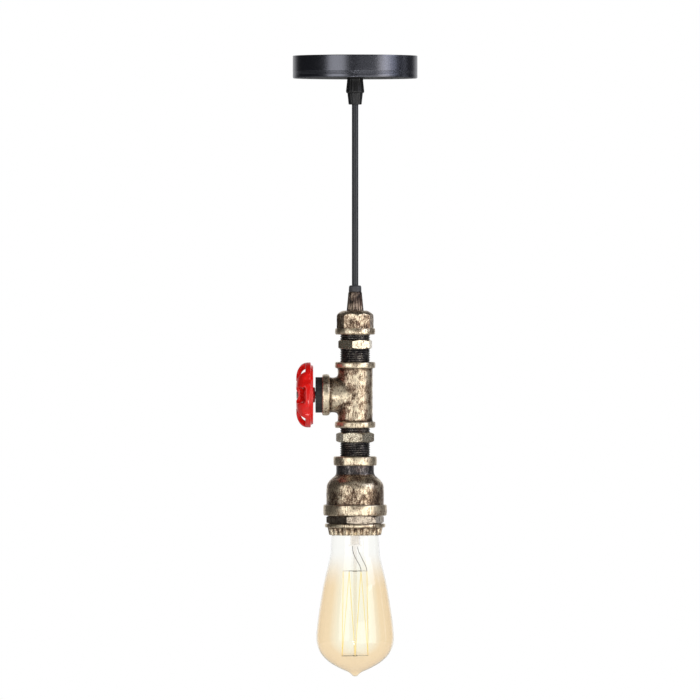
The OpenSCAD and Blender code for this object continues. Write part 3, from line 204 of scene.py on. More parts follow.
def warm_filament():
    """Drawn carbon filament: a pale straw line that glows faintly against the tinted glass."""
    made, tree, place = blank_material("straw_filament")
    shade_mm = 4
    shade = add(tree, "TexNoise", {"Vector": place, "Scale": 1 / (shade_mm * MM)})
    straw = add(tree, "Mix", {0: shade, 6: tone("#e8c46a"), 7: tone("#f6ec9a")}, data_type="RGBA")
    return surfaced(
        made, Base_Color=straw, Metallic=0.6, Roughness=0.4, Emission_Color=straw, Emission_Strength=0.45)


# Each plain finish says its name, two tones, roughness and its spread, and the grain's size and height
# in millimetres. Each bronze says its name, base, mid and gilt tones, cover, streak, grain in
# millimetres, speckle and least roughness.
FINISHES = {
    # Powder coat on pressed steel: near-black with a satin sheen and the faint rings of its turning
    "powder_coat": lambda: plain_finish(
        "black_powder_coat", "#111216", "#15161b", 0.27, 0.04, 0.5, 0.006, squeeze=3,
        IOR=2.4, Specular_Tint=tone("#dadcea")),
    # The same coat on the flat underneath, with its reflection turned down so that it looks dull black:
    # painted shade
    "shaded_coat_underneath": lambda: plain_finish(
        "thin_black_powder_coat", "#121214", "#19191b", 0.55, 0.05, 0.5, 0.006, Specular_IOR_Level=0.08),
    # Nylon, moulded: soft black with a fine mould grain
    "black_nylon": lambda: plain_finish("black_nylon", "#0d0d0e", "#151517", 0.42, 0.08, 0.4, 0.015),
    # The same nylon dusted grey by the brush: soft, dry and paler
    "dusted_nylon": lambda: plain_finish("dusted_grey_nylon", "#3a3a3e", "#4c4a4c", 0.5, 0.1, 0.6, 0.02),
    # Nylon brushed over with bronze paint: dark with brown-gold ribs
    "bronzed_nylon": lambda: antique_bronze(
        "bronzed_nylon", "#2a2624", "#66564c", "#c0ac98", 0.36, 0.06, 0.8, 0.15),
    # PVC, extruded: smooth, charcoal, with a soft line of light along it
    "cord_pvc": lambda: plain_finish(
        "charcoal_pvc", "#26282c", "#2a2c30", 0.34, 0.03, 0.8, 0.002, squeeze=0.1),
    # Thin PVC insulation of the cores: even and half glossy
    "live_pvc": lambda: plain_finish("brown_core_pvc", "#5a3320", "#6a3d26", 0.42),
    "neutral_pvc": lambda: plain_finish("blue_core_pvc", "#1f56a8", "#2864ba", 0.42),
    "earth_pvc": two_tone_insulation,
    # Malleable iron, sand cast and antiqued: worn gold over pitted brown
    "cast_bronze": lambda: antique_bronze(
        "antiqued_cast_iron", "#3a2e26", "#8e745e", "gilding", 0.52, 0.2, 0.9, 0.5),
    # The same paint on turned and milled faces, rubbed nearly through
    "milled_bronze": lambda: antique_bronze(
        "antiqued_milled_iron", "#2a2420", "#94806a", "#e8dec6", 0.62, 0.6, 1.2, 0.8, 0.22),
    # Turned hexagon that the brush left browner
    "brown_bronze": lambda: antique_bronze(
        "antiqued_turned_iron", "#251c18", "#76675c", "#c9bcaa", 0.56, 0.4, 1.0, 0.9, 0.24),
    # Cut thread left under the dark coat: oily black with brown crests
    "black_thread": lambda: antique_bronze(
        "oiled_black_thread", "#242224", "#5c5858", "#c0b8ac", 0.5, 1.0, 0.8, 0.5, 0.24),
    # The cup's neck, where the brush didn't reach
    "grey_neck": lambda: antique_bronze(
        "unbrushed_iron_neck", "#3c3838", "#6e6866", "#aaa29c", 0.46, 0.4, 1.6, 0.5),
    # Gloss enamel on cast aluminium: deep wet red over a soft casting texture
    "red_enamel": lambda: plain_finish(
        "red_gloss_enamel", "enamel_deep", "enamel_light", 0.3, 0.08, 2.2, 0.04,
        Specular_IOR_Level=0.3, Coat_Weight=0.5, Coat_Roughness=0.04),
    # Glass-filled nylon, moulded: dull, with a green cast
    "switch_nylon": lambda: plain_finish(
        "dark_green_black_nylon", "#1d2223", "#2a3031", 0.55, 0.1, 0.5, 0.02),
    # Zinc plate on steel: grey with a bluish cloudy passivation
    "zinc": lambda: plain_finish("zinc_plated_steel", "#a9abac", "#c6c6c0", 0.34, 0.14, 0.5, Metallic=1.0),
    # Stamped brass: warm yellow, slightly hazed
    "brass": lambda: plain_finish("stamped_brass", "#c8a050", "#dcb870", 0.3, 0.12, 0.5, Metallic=1.0),
    # Brass sheet, rolled into a screw cap: paler and duller
    "cap_brass": lambda: plain_finish(
        "rolled_cap_brass", "#b8a070", "#cdb98a", 0.34, 0.14, 0.5, Metallic=1.0),
    # Glazed porcelain: cream white, wet gloss
    "porcelain": lambda: plain_finish(
        "glazed_porcelain", "#e6e1d4", "#efeade", 0.14, 0.04, 1.2, Coat_Weight=0.6),
    # Polyamide, moulded: even ivory with a soft sheen
    "ivory": lambda: plain_finish("ivory_polyamide", "#dcd4bc", "#e6dfca", 0.42, 0.08, 0.5),
    # Vitrite, the black glass bead of a screw cap
    "vitrite": lambda: plain_finish("black_vitrite", "#0e0e0f", "#161617", 0.12, 0.04, 0.8),
    # Tin solder, melted and set: dull silver with a frosted skin
    "solder": lambda: plain_finish("tin_solder", "#a8a8a6", "#bcbcb8", 0.42, 0.16, 0.7, 0.03, Metallic=1.0),
    # Nickel wire, drawn: grey with a dull metal gloss
    "nickel": lambda: plain_finish("nickel_wire", "#8f8b84", "#a39e95", 0.35, 0.1, 0.4, 0.005, Metallic=1.0),
    "lamp_glass": lamp_glass,
    "stem_glass": stem_glass,
    "filament": warm_filament,
}
made_finishes = {}


def finish(key):
    """A finish's material, made when it is first asked for."""
    if key not in made_finishes:
        made_finishes[key] = FINISHES[key]()
    return made_finishes[key]


# Placing and measuring

def dress(obj, *keys):
    """Puts finishes on an object's material slots, the first on every face."""
    obj.data.materials.clear()
    for key in keys:
        obj.data.materials.append(finish(key))
    return obj


def second_finish(obj, picked):
    """Gives an object's second finish to the faces that are picked."""
    for face in obj.data.polygons:
        face.material_index = int(picked(face))


def linked(name, data):
    obj = bpy.data.objects.new(name, data)
    bpy.context.scene.collection.objects.link(obj)
    return obj


def settle(obj, body, slot, node):
    """Hangs a finished piece on its body, in place of its solid. The slot is not used."""
    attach(obj, body)
    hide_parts(node)


def span(node):
    """A node's top and foot, and its half width along X, in millimetres."""
    low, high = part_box(node)
    return high.z / MM, low.z / MM, (high.x - low.x) / 2 / MM


def middle_z(node):
    """The height of a node's middle, in metres."""
    low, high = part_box(node)
    return (low.z + high.z) / 2


# Turned forms. An outline's point is (radius, height, corner radius, gold) in millimetres, and the last
# two are 0 where they are left out. Gold is how hard the brush rubbed there, from 0 to 1.

def smooth_shade(mesh, angle=32):
    mesh.shade_smooth()
    mesh.set_sharp_from_angle(angle=math.radians(angle))


def gild(mesh, gold):
    """Keeps each point's share of gold for the bronze finishes."""
    mesh.attributes.new("gold", "FLOAT", "POINT").data.foreach_set("value", np.array(gold, np.float32))


def softened(outline, steps):
    """The closed outline with its corners rounded, as (radius, height, gold). A corner takes less than
    half of the sides that meet at it, and one too small to see stays sharp."""
    done = []
    count, most, least = len(outline), 0.48, 0.02
    for i, point in enumerate(outline):
        r, z, soft, gold = (*point, 0, 0)[:4]
        here = np.array([r, z])
        before, after = (np.array(outline[(i + k) % count][:2]) - here for k in (-1, 1))
        reach = min(soft, most * np.linalg.norm(before), most * np.linalg.norm(after))
        if reach < least:
            done.append((r, z, gold))
            continue
        start = here + before / np.linalg.norm(before) * reach
        end = here + after / np.linalg.norm(after) * reach
        for k in range(steps + 1):
            t = k / steps
            p = (1 - t) ** 2 * start + 2 * t * (1 - t) * here + t ** 2 * end
            done.append((p[0], p[1], gold))
    return done


def spaced(rows, step):
    """The closed outline with points no further apart than the step."""
    done = []
    for i, a in enumerate(rows):
        b = rows[(i + 1) % len(rows)]
        n = max(1, math.ceil(math.dist(a[:2], b[:2]) / step))
        done += [tuple(a[j] + (b[j] - a[j]) * k / n for j in range(3)) for k in range(n)]
    return done


def turned_form(name, outline, sides=144, start=0.0, shape=None, step=1.2, soft_steps=4):
    """A closed skin turned round Z from a closed outline. The shape function may give each row of
    points its own radius round the axis. A point at radius 0 is a pole."""
    rows = spaced(softened(outline, soft_steps), step)
    angles = start + TURN * np.arange(sides) / sides
    points, golds, rings = [], [], []
    for r, z, gold in rows:
        if r < 1e-6:
            rings.append([len(points)] * sides)
            points.append((0.0, 0.0, z * MM))
            golds.append(gold)
            continue
        radii = np.full(sides, float(r)) if shape is None else shape(angles, r, z) + np.zeros(sides)
        rings.append(list(range(len(points), len(points) + sides)))
        points += [(q * math.cos(a) * MM, q * math.sin(a) * MM, z * MM) for q, a in zip(radii, angles)]
        golds += [gold] * sides
    faces = []
    for i, ring in enumerate(rings):
        above = rings[(i + 1) % len(rings)]
        if ring[0] == ring[1] and above[0] == above[1]:
            continue
        for k in range(sides):
            n = (k + 1) % sides
            faces.append(list(dict.fromkeys((ring[k], ring[n], above[n], above[k]))))
    mesh = bpy.data.meshes.new(name)
    mesh.from_pydata(points, [], faces)
    shell = bmesh.new()
    shell.from_mesh(mesh)
    bmesh.ops.recalc_face_normals(shell, faces=shell.faces)
    shell.to_mesh(mesh)
    shell.free()
    gild(mesh, golds)
    smooth_shade(mesh)
    return linked(name, mesh)


def corner_radius(angles, corner, sides, turn):
    """A polygon's radius at each angle. One corner lies at the turn."""
    wedge = TURN / sides
    off = (angles - turn) % wedge - wedge / 2
    return corner * math.cos(wedge / 2) / np.cos(off)


def helix_cut(angles, z, pitch, depth):
    """How deep a thread with flat crests and pointed roots is cut at one height, round the axis."""
    phase = (z / pitch - angles / TURN) % 1
    return depth * np.clip(1.35 * np.abs(2 * phase - 1) - 0.35, 0, 1)


def grooved(count, depth, power, inside, low, high, run_out=0):
    """A shape function that sinks grooves round a form's outside, between two heights. The power
    narrows them, and they may run out towards the top."""
    def shape(angles, r, z):
        if r < inside or not low <= z <= high:
            return r
        share = min(1, (high - z) / run_out) if run_out else 1
        return r - depth * share * (0.5 + 0.5 * np.cos(count * angles)) ** power
    return shape


def on_branch(obj):
    """Turns a piece made along +Z so that it points along the tee's branch, to -X."""
    height = Matrix.Translation((0, 0, middle_z("switch_spindle")))
    obj.data.transform(height @ Matrix.Rotation(-math.pi / 2, 4, "Y"))
    obj.data.update()
    return obj


# Castings

def roughened(obj, depth_mm, size_mm, seed):
    """Presses the slight unevenness of a sand casting into a mesh."""
    shift = Vector((seed, seed * 2.3, seed * 0.7))
    scale = 1 / (size_mm * MM)
    mesh = obj.data
    normals = [v.normal.copy() for v in mesh.vertices]
    for v, n in zip(mesh.vertices, normals):
        v.co += n * noise.noise(v.co * scale + shift) * depth_mm * MM
    mesh.update()


def relaxed(points, edges, rounds, share=1.0):
    """Moves each point towards its neighbours' middle, so many times."""
    a, b = edges.T
    count = np.maximum(1, np.bincount(edges.ravel(), minlength=len(points)))[:, None]
    for _ in range(rounds):
        total = np.stack([
            np.bincount(a, points[b, k], len(points)) + np.bincount(b, points[a, k], len(points))
            for k in range(3)
        ], 1)
        points = points + share * (total / count - points)
    return points


def numbers(items, attribute, width, kind=np.float64):
    """One attribute of all of a mesh's points or edges, a row for each."""
    flat = np.empty(len(items) * width, kind)
    items.foreach_get(attribute, flat)
    return flat.reshape(-1, width)


def cast_copy(name, node, voxel_mm, rounds, share=None, extra_rounds=0, high_mm=0.25):
    """A CAD solid remeshed and eased, as a casting leaves it: soft edges and filled corners. The
    share function gives how much each point joins the extra rounds. High spots get more gold."""
    source = linked(name + "_rough", CAD[node].data.copy())
    source.data.materials.clear()
    remesh = source.modifiers.new("remesh", "REMESH")
    remesh.mode = "VOXEL"
    remesh.voxel_size = voxel_mm * MM
    graph = bpy.context.evaluated_depsgraph_get()
    mesh = bpy.data.meshes.new_from_object(source.evaluated_get(graph))
    mesh.name = name
    bpy.data.objects.remove(source)
    edges = numbers(mesh.edges, "vertices", 2, np.int64)
    points = relaxed(numbers(mesh.vertices, "co", 3), edges, rounds)
    if share is not None:
        points = relaxed(points, edges, extra_rounds, share(points / MM)[:, None])
    mesh.vertices.foreach_set("co", points.ravel())
    mesh.update()
    wide_rounds = 40
    wide = relaxed(points, edges, wide_rounds)
    proud = np.einsum("ij,ij->i", points - wide, numbers(mesh.vertices, "normal", 3)) / MM
    gild(mesh, np.clip(0.5 + proud / high_mm, 0, 1))
    mesh.shade_smooth()
    return linked(name, mesh)


# Cord and wire

def round_wire(name, lines, radius_mm, key, facets=5, order=4, steps=4, capped=True):
    """Round wire along one or more lines of points in millimetres."""
    data = bpy.data.curves.new(name, "CURVE")
    data.dimensions = "3D"
    data.bevel_depth = radius_mm * MM
    data.bevel_resolution = facets
    data.resolution_u = steps
    data.use_fill_caps = capped
    for points in lines:
        line = data.splines.new("NURBS")
        line.points.add(len(points) - 1)
        for p, q in zip(line.points, points):
            p.co = (q[0] * MM, q[1] * MM, q[2] * MM, 1)
        line.order_u = order
        line.use_endpoint_u = True
    return dress(linked(name, data), key)


def straight_cord(name, top, foot, r, ball_ends=False):
    """A straight length of cord down the Z axis, with flat or ball-shaped ends."""
    outline = [(0, top), (r, top), (r, foot), (0, foot)]
    if ball_ends:
        tip = 0.2
        outline = [(0, top + r)]
        outline += [(r * math.sin(a), top + r * math.cos(a)) for a in np.linspace(tip, math.pi / 2, 8)]
        outline += [(r * math.cos(a), foot - r * math.sin(a)) for a in np.linspace(0, math.pi / 2 - tip, 8)]
        outline += [(0, foot - r)]
    return dress(turned_form(name, outline, sides=48, step=2.5), "cord_pvc")


def length_of(points):
    return sum((Vector(b) - Vector(a)).length for a, b in zip(points, points[1:]))


# Sizes and colours that a user would change

class PendantStageSettings(PropertyGroup):
    distance: FloatProperty(
        name="Camera distance", description="From the camera to the lamp", default=8.0, unit="LENGTH")
    below: FloatProperty(
        name="Angle from below", description="How far the camera looks up",
        default=math.radians(-0.4), subtype="ANGLE")
    seen_width: FloatProperty(
        name="Seen width", description="Width of the picture at the lamp", default=0.5614, unit="LENGTH")
    aim_x: FloatProperty(
        name="Aim across", description="Where the picture's middle lies, left or right of the cord",
        default=-0.0041, unit="LENGTH")
    aim_z: FloatProperty(
        name="Aim height", description="Height of the picture's middle", default=-0.2359, unit="LENGTH")
    floor_z: FloatProperty(
        name="Floor height", description="The floor's height below the ceiling plane",
        default=-1.6, unit="LENGTH")


class PendantColourSettings(PropertyGroup):
    enamel_deep: FloatVectorProperty(
        name="Deep enamel", description="The handwheel's enamel where it lies thick",
        size=4, default=linear("#d80a06"), subtype="COLOR")
    enamel_light: FloatVectorProperty(
        name="Light enamel", description="The handwheel's enamel where it lies thin",
        size=4, default=linear("#ee140c"), subtype="COLOR")
    gilding: FloatVectorProperty(
        name="Gilding", description="Worn gold on the castings' edges",
        size=4, default=linear("#f6e6c8"), subtype="COLOR")
    rust: FloatVectorProperty(
        name="Rust", description="Brown patches in the castings' paint",
        size=4, default=linear("#5c3a30"), subtype="COLOR")
    glass_tint: FloatVectorProperty(
        name="Glass tint", description="The bulb's amber tint",
        size=4, default=linear("#fae9ce"), subtype="COLOR")


class PendantCordSettings(PropertyGroup):
    diameter: FloatProperty(
        name="Cord diameter", description="Outside diameter of the cord", default=0.0052, unit="LENGTH")
    turns: FloatProperty(
        name="Spare turns", description="Turns of spare cord in the canopy", default=4.5)


class PendantFittingSettings(PropertyGroup):
    thread_pitch: FloatProperty(
        name="Thread pitch", description="Pitch of the pipe thread", default=0.0018, unit="LENGTH")
    thread_depth: FloatProperty(
        name="Thread depth", description="Depth of the pipe thread", default=0.0009, unit="LENGTH")
    casting_depth: FloatProperty(
        name="Casting unevenness", description="Depth of the sand casting's dents",
        default=0.00014, unit="LENGTH")
    teeth: IntProperty(
        name="Ring teeth", description="Teeth round the clamping ring", default=24)


class PendantBulbSettings(PropertyGroup):
    strand_radius: FloatProperty(
        name="Filament radius", description="Radius of the filament's thread",
        default=0.00026, unit="LENGTH")


SETTINGS = {
    "pendant_stage": PendantStageSettings,
    "pendant_colours": PendantColourSettings,
    "pendant_cord": PendantCordSettings,
    "pendant_fittings": PendantFittingSettings,
    "pendant_bulb": PendantBulbSettings,
}


# Stage

# Each softbox: azimuth in degrees from the camera's side to the right, height, width and height of its
# cloth, power and colour
SOFTBOXES = {
    "right_softbox": (54, -0.42, (0.62, 1.0), 6.0, "#fffbf5"),
    "right_high": (66, 0.42, (0.85, 0.8), 6.8, "#e6ecff"),
    "right_fill": (20, -0.55, (1.0, 0.85), 4.4, "#ffffff"),
    "left_softbox": (-34, -0.2, (0.9, 1.1), 6.4, "#ffffff"),
    "rim_strip": (103, -0.2, (0.1, 1.4), 0.5, "#f4f7ff"),
    "low_front": (-4, -0.95, (0.12, 0.35), 1.7, "#ffffff"),
    "overhead": (20, 1.3, (1.0, 1.0), 2.6, "#ffffff"),
}


def seen_directly(tree):
    """1 for what the eye looks at, in the open or through glass, and 0 for what only lights."""
    path = add(tree, "LightPath").outputs
    return add(tree, "Math", {
        0: path["Is Camera Ray"], 1: path["Is Transmission Ray"]}, operation="MAXIMUM")


class PENDANT_OT_stage(Operator):
    """Makes the camera, the softboxes, the pale surroundings and the floor"""

    bl_idname = "pendant.stage"
    bl_label = "Stage"

    def execute(self, context):
        s = context.scene.pendant_stage
        self.stand_camera(context.scene, s)
        for name, row in SOFTBOXES.items():
            self.hang_softbox(name, *row)
        self.wrap_in_white(context.scene)
        self.lay_floor(s.floor_z)
        return {"FINISHED"}

    def stand_camera(self, scene, s):
        data = bpy.data.cameras.new("camera")
        data.sensor_width = 36
        data.lens = data.sensor_width * s.distance / s.seen_width
        data.clip_start, data.clip_end = 0.05, 60
        camera = linked("camera", data)
        back = Vector((0, -math.cos(s.below), -math.sin(s.below)))
        camera.location = Vector((s.aim_x, 0, s.aim_z)) + back * s.distance
        camera.rotation_euler = (-back).to_track_quat("-Z", "Y").to_euler()
        scene.camera = camera
        scene.view_settings.view_transform = "Standard"

    def hang_softbox(self, name, azimuth, height, size, power, colour):
        distance, aim = 1.5, Vector((0, 0, -0.27))
        data = bpy.data.lights.new(name, "AREA")
        data.shape = "RECTANGLE"
        data.size, data.size_y = size
        data.energy = power
        data.color = linear(colour)[:3]
        obj = linked(name, data)
        a = math.radians(azimuth)
        obj.location = (distance * math.sin(a), -distance * math.cos(a), height)
        obj.rotation_euler = (aim - obj.location).to_track_quat("-Z", "Y").to_euler()
        obj.visible_camera = obj.visible_transmission = False

    def wrap_in_white(self, scene):
        """White behind the lamp, a dim studio in front of it, and plain white where the eye looks past it."""
        world = bpy.data.worlds.new("studio")
        scene.world = world
        world.use_nodes = True
        tree = world.node_tree
        tree.nodes.clear()
        toward = add(tree, "TexCoord").outputs["Generated"]
        across = add(tree, "SeparateXYZ", {0: toward})
        backdrop = add(tree, "MapRange", {
            "Value": across.outputs["Y"], "From Min": 0.66, "From Max": 0.94, "To Min": 0.02, "To Max": 0.95},
            interpolation_type="SMOOTHSTEP")
        mirrored = add(tree, "LightPath").outputs["Is Glossy Ray"]
        glossy = add(tree, "Mix", {0: mirrored, 2: 0.32, 3: backdrop}, data_type="FLOAT")
        level = add(tree, "Mix", {0: seen_directly(tree), 2: glossy, 3: 1.0}, data_type="FLOAT")
        light = add(tree, "Background", {"Color": linear("#ffffff"), "Strength": level})
        add(tree, "OutputWorld", {"Surface": light})

    def lay_floor(self, floor_z):
        """A pale floor that keeps the shadow, runs out into white, and is seen through from underneath."""
        paper, tree, place = blank_material("white_paper")
        fibre_mm, relief_mm = 8, 0.05
        fibre = add(tree, "TexNoise", {"Vector": place, "Scale": 1 / (fibre_mm * MM), "Detail": 2.0})
        relief = add(tree, "Bump", {"Height": fibre, "Distance": relief_mm * MM})
        sheet = add(tree, "BsdfPrincipled", {
            "Base Color": linear("#f2f2f0"), "Roughness": 0.9, "Normal": relief})
        clear = add(tree, "BsdfTransparent")
        under = add(tree, "NewGeometry").outputs["Backfacing"]
        white = add(tree, "Emission", {"Color": linear("#ffffff"), "Strength": 1.0})
        away = add(tree, "VectorMath", {0: place}, operation="LENGTH")
        fade = add(tree, "MapRange", {
            "Value": away, "From Min": 1.8, "From Max": 3.4, "To Min": 0.5, "To Max": 1.0},
            interpolation_type="SMOOTHSTEP")
        lit = add(tree, "Math", {0: seen_directly(tree), 1: fade}, operation="MULTIPLY")
        top = add(tree, "MixShader", {0: lit, 1: sheet, 2: white})
        both = add(tree, "MixShader", {0: under, 1: top, 2: clear})
        add(tree, "OutputMaterial", {"Surface": both})
        mesh = bpy.data.meshes.new("floor")
        r, corners = 6.0, 64
        angles = [TURN * k / corners for k in range(corners)]
        mesh.from_pydata([(r * math.cos(a), r * math.sin(a), floor_z) for a in angles], [], [range(corners)])
        floor = linked("floor", mesh)
        mesh.materials.append(paper)


# Solids that keep their CAD shape

# The solids that each finish goes on
DRESSED = {
    "zinc": ["ceiling_bracket", "canopy_screws", "grip_locknut", "terminal_screws", "bracket_earth_screw",
             "lamp_grip_locknut", "switch_nut", "switch_spindle", "wheel_washer", "wheel_screw",
             "holder_terminal_screws"],
    "brass": ["terminal_inserts", "lamp_earth_lug", "switch_contacts", "screw_shell", "centre_contact"],
    "black_nylon": ["grip_collet", "switch_case", "holder_skirt"],
    "ivory": ["terminal_block", "switch_rotor"],
    "porcelain": ["holder_core"],
    "live_pvc": ["lamp_live_core", "lamp_switched_core"],
    "neutral_pvc": ["lamp_neutral_core"],
    "earth_pvc": ["lamp_earth_core"],
    "cap_brass": ["bulb_screw_cap"],
    "vitrite": ["bulb_insulator"],
    "solder": ["bulb_contact"],
    "stem_glass": ["bulb_stem"],
}


class PENDANT_OT_inner_parts(Operator):
    """Finishes the bracket, terminals, switch, lampholder and bulb cap, whose CAD shapes are right"""

    bl_idname = "pendant.inner_parts"
    bl_label = "Inner parts"

    def execute(self, context):
        for key, nodes in DRESSED.items():
            for node in nodes:
                dress(CAD[node], key)
        return {"FINISHED"}


# Cord

# Middle lines in millimetres
LEAD_IN = [
    (-14.6, -18.5, -7.9), (-11.4, -20.3, -7.2), (-8, -20.4, -6.4), (-5.1, -19.1, -5.6), (-2.9, -16.9, -5),
    (-1.4, -14.2, -4.7), (-0.4, -11.2, -4.7), (0, -8, -5.2), (0, -4.9, -6.5), (0, -2.4, -8.8),
    (0, -0.7, -11.8), (0, 0, -15.4), (0, 0, -20), (0, 0, -26), (0, 0, -32), (0, 0, -37.9),
]
CANOPY_CORES = {
    "canopy_live_core": ("live_pvc", "live_insulation", [
        (21.5, 5.3, -14.6), (21.6, 2.5, -14.4), (19.5, -1.6, -13.4), (15, -3.8, -12), (10, -3.4, -11.5),
        (6, -0.8, -11.5), (4.3, 3.4, -11.5), (4, 7, -11.5), (4, 9.8, -11.5), (4, 12.6, -11.5)]),
    "canopy_neutral_core": ("neutral_pvc", "neutral_insulation", [
        (22.5, 5.6, -12.8), (22.6, 3.2, -12.3), (21, 0.2, -11), (17, -0.6, -9.8), (10, 3.2, -9.2),
        (4, 5.2, -9.1), (0, 5, -9.4), (-3, 5.2, -10.6), (-4, 7.2, -11.5), (-4, 9.8, -11.5),
        (-4, 12.6, -11.5)]),
    "canopy_earth_core": ("earth_pvc", "earth_insulation", [
        (23.5, 5.9, -14.6), (24, 3, -14.2), (23.4, -1, -12.5), (21.4, -3.6, -8.8), (20.2, -3.6, -4.8),
        (19.8, -3.2, -3.1), (19, -3, -2.6)]),
}
# The spare coil winds outwards to the middle of its length, climbs one step, and winds in again
COIL_R, COIL_STEP, COIL_Z = 23.7, 5.8, -14.0
COIL_START, TIP_TURN = math.radians(26.6), math.radians(12)
CLIMB_TURNS, TIP_L, POINTS_A_TURN = 0.5, 5.2, 24


def coil_point(t, turns):
    """A point on the middle line of the spare cord, by the number of turns from its start."""
    r = COIL_R + COIL_STEP * min(t, turns - t)
    climbed = min(1, max(0, (t - (turns - CLIMB_TURNS) / 2) / CLIMB_TURNS))
    a = COIL_START + TURN * t
    return Vector((
        r * math.cos(a), r * math.sin(a), COIL_Z + COIL_STEP * (1 - math.cos(math.pi * climbed)) / 2))


def coil_tip(t, turns, way, further=0.0):
    """A point straight on from the coil's first or last point."""
    a = COIL_START + TURN * t + way * (math.pi / 2 + TIP_TURN)
    return coil_point(t, turns) + (TIP_L + further) * Vector((math.cos(a), math.sin(a), 0))


class PENDANT_OT_cords(Operator):
    """Makes the cord: the spare coil in the canopy, its way into the grip, and the hanging length"""

    bl_idname = "pendant.cords"
    bl_label = "Cord"

    def execute(self, context):
        s = context.scene.pendant_cord
        r = s.diameter / 2 / MM
        turns = s.turns
        route = [coil_tip(0, turns, -1)]
        route += [coil_point(k / POINTS_A_TURN, turns) for k in range(int(turns * POINTS_A_TURN) + 1)]
        route += [coil_tip(turns, turns, 1)]
        coil = round_wire("spare_cord", [route], r, "cord_pvc")
        settle(coil, "ceiling_mount", "cord_sheath", "cord_spare_coil")
        length_of(route) * MM

        inward = [coil_tip(turns, turns, 1, gap) for gap in (0.1, 1.5)] + [Vector(p) for p in LEAD_IN]
        lead = round_wire("cord_into_grip", [inward], r, "cord_pvc")
        settle(lead, "ceiling_mount", "cord_sheath", "cord_lead_in")
        length_of(inward) * MM

        # The cord's bend turns on two balls, one for each way that it swings
        side_z, front_z = LEAD_IN[-1][2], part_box("cord_bend")[0].z / MM + r
        bend = straight_cord("cord_at_grip", side_z, front_z, r, ball_ends=True)
        settle(bend, "cord_link", "cord_sheath", "cord_bend")

        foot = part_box("cord_drop")[0].z / MM
        drop = straight_cord("hanging_cord", front_z, foot, r)
        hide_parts("cord_drop")
        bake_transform(drop)

        end_top, end_foot, _ = span("cord_end")
        end = straight_cord("cord_in_lamp", end_top, end_foot, r)
        settle(end, "lamp", "cord_sheath", "cord_end")
        steps = 24
        line = [(0, 0, (front_z + (foot - front_z) * k / steps) * MM) for k in range(steps + 1)]
        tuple(line[0])

        core_r = 1.0
        for node, (key, slot, points) in CANOPY_CORES.items():
            core = round_wire(node.replace("canopy_", "").replace("core", "wire"), [points], core_r, key)
            settle(core, "ceiling_mount", slot, node)
        self.ring_lug()
        return {"FINISHED"}

    def ring_lug(self):
        """The earth wire's ring lug under its screw, with the crimped tab that holds the wire."""
        screw_x, screw_y, tab_l, tab_half = 15, -3, 5.5, 1.5

        def pear(angles, r, z):
            if r < 3:
                return np.full(len(angles), r)
            off = np.abs((angles + math.pi) % TURN - math.pi)
            return np.where(off < 0.5, np.minimum(tab_l, tab_half / np.maximum(np.sin(off), 0.05)), r)

        lug = turned_form("earth_ring_lug", [
            (2.1, -1.5, 0.05), (3.4, -1.5, 0.1), (3.4, -2.3, 0.1), (2.1, -2.3, 0.05),
        ], 72, shape=pear)
        lug.data.transform(Matrix.Translation((screw_x * MM, screw_y * MM, 0)))
        settle(dress(lug, "brass"), "ceiling_mount", "brass", "canopy_earth_core")


# Canopy and cord grips

class PENDANT_OT_canopy(Operator):
    """Makes the pressed canopy, with its rolled lines and its two screw holes"""

    bl_idname = "pendant.canopy"
    bl_label = "Canopy"

    def execute(self, context):
        top, foot, r = span("canopy_shell")
        wall, hole, screw_hole, reach = 1.2, 5.1, 1.6, 60
        lines = []
        # Three shallow lines rolled into the wall near its lower edge
        for z in (foot + 5.0, foot + 4.0, foot + 3.0):
            lines += [(r, z + 0.3, 0.05), (r - 0.14, z, 0.15), (r, z - 0.3, 0.05)]
        shell = turned_form("canopy_cover", [
            (r - wall, top, 0.25), (r - 0.1, top, 0.25), (r, top - 0.4, 0.2), *lines, (r, foot, 0.9),
            (hole, foot, 0.2), (hole, foot + wall, 0.1), (r - wall, foot + wall, 0.6),
        ], sides=192, step=2.0, soft_steps=7)
        drill = turned_form("drill", [
            (0, reach), (screw_hole, reach), (screw_hole, -reach), (0, -reach)], 32, step=200)
        height = Matrix.Translation((0, 0, middle_z("canopy_screws")))
        drill.data.transform(height @ Matrix.Rotation(math.pi / 2, 4, "Y"))
        cut = shell.modifiers.new("holes", "BOOLEAN")
        cut.operation, cut.object, cut.solver = "DIFFERENCE", drill, "EXACT"
        graph = bpy.context.evaluated_depsgraph_get()
        mesh = bpy.data.meshes.new_from_object(shell.evaluated_get(graph))
        shell.modifiers.clear()
        shell.data = mesh
        bpy.data.objects.remove(drill)
        smooth_shade(mesh, 28)
        dress(shell, "powder_coat", "shaded_coat_underneath")
        # Faces that look down take the copy of the coat with its reflection turned down: painted shade on the
        # underside
        second_finish(shell, lambda face: face.normal.z < -0.9)
        settle(shell, "ceiling_mount", "black_satin_steel", "canopy_shell")
        return {"FINISHED"}


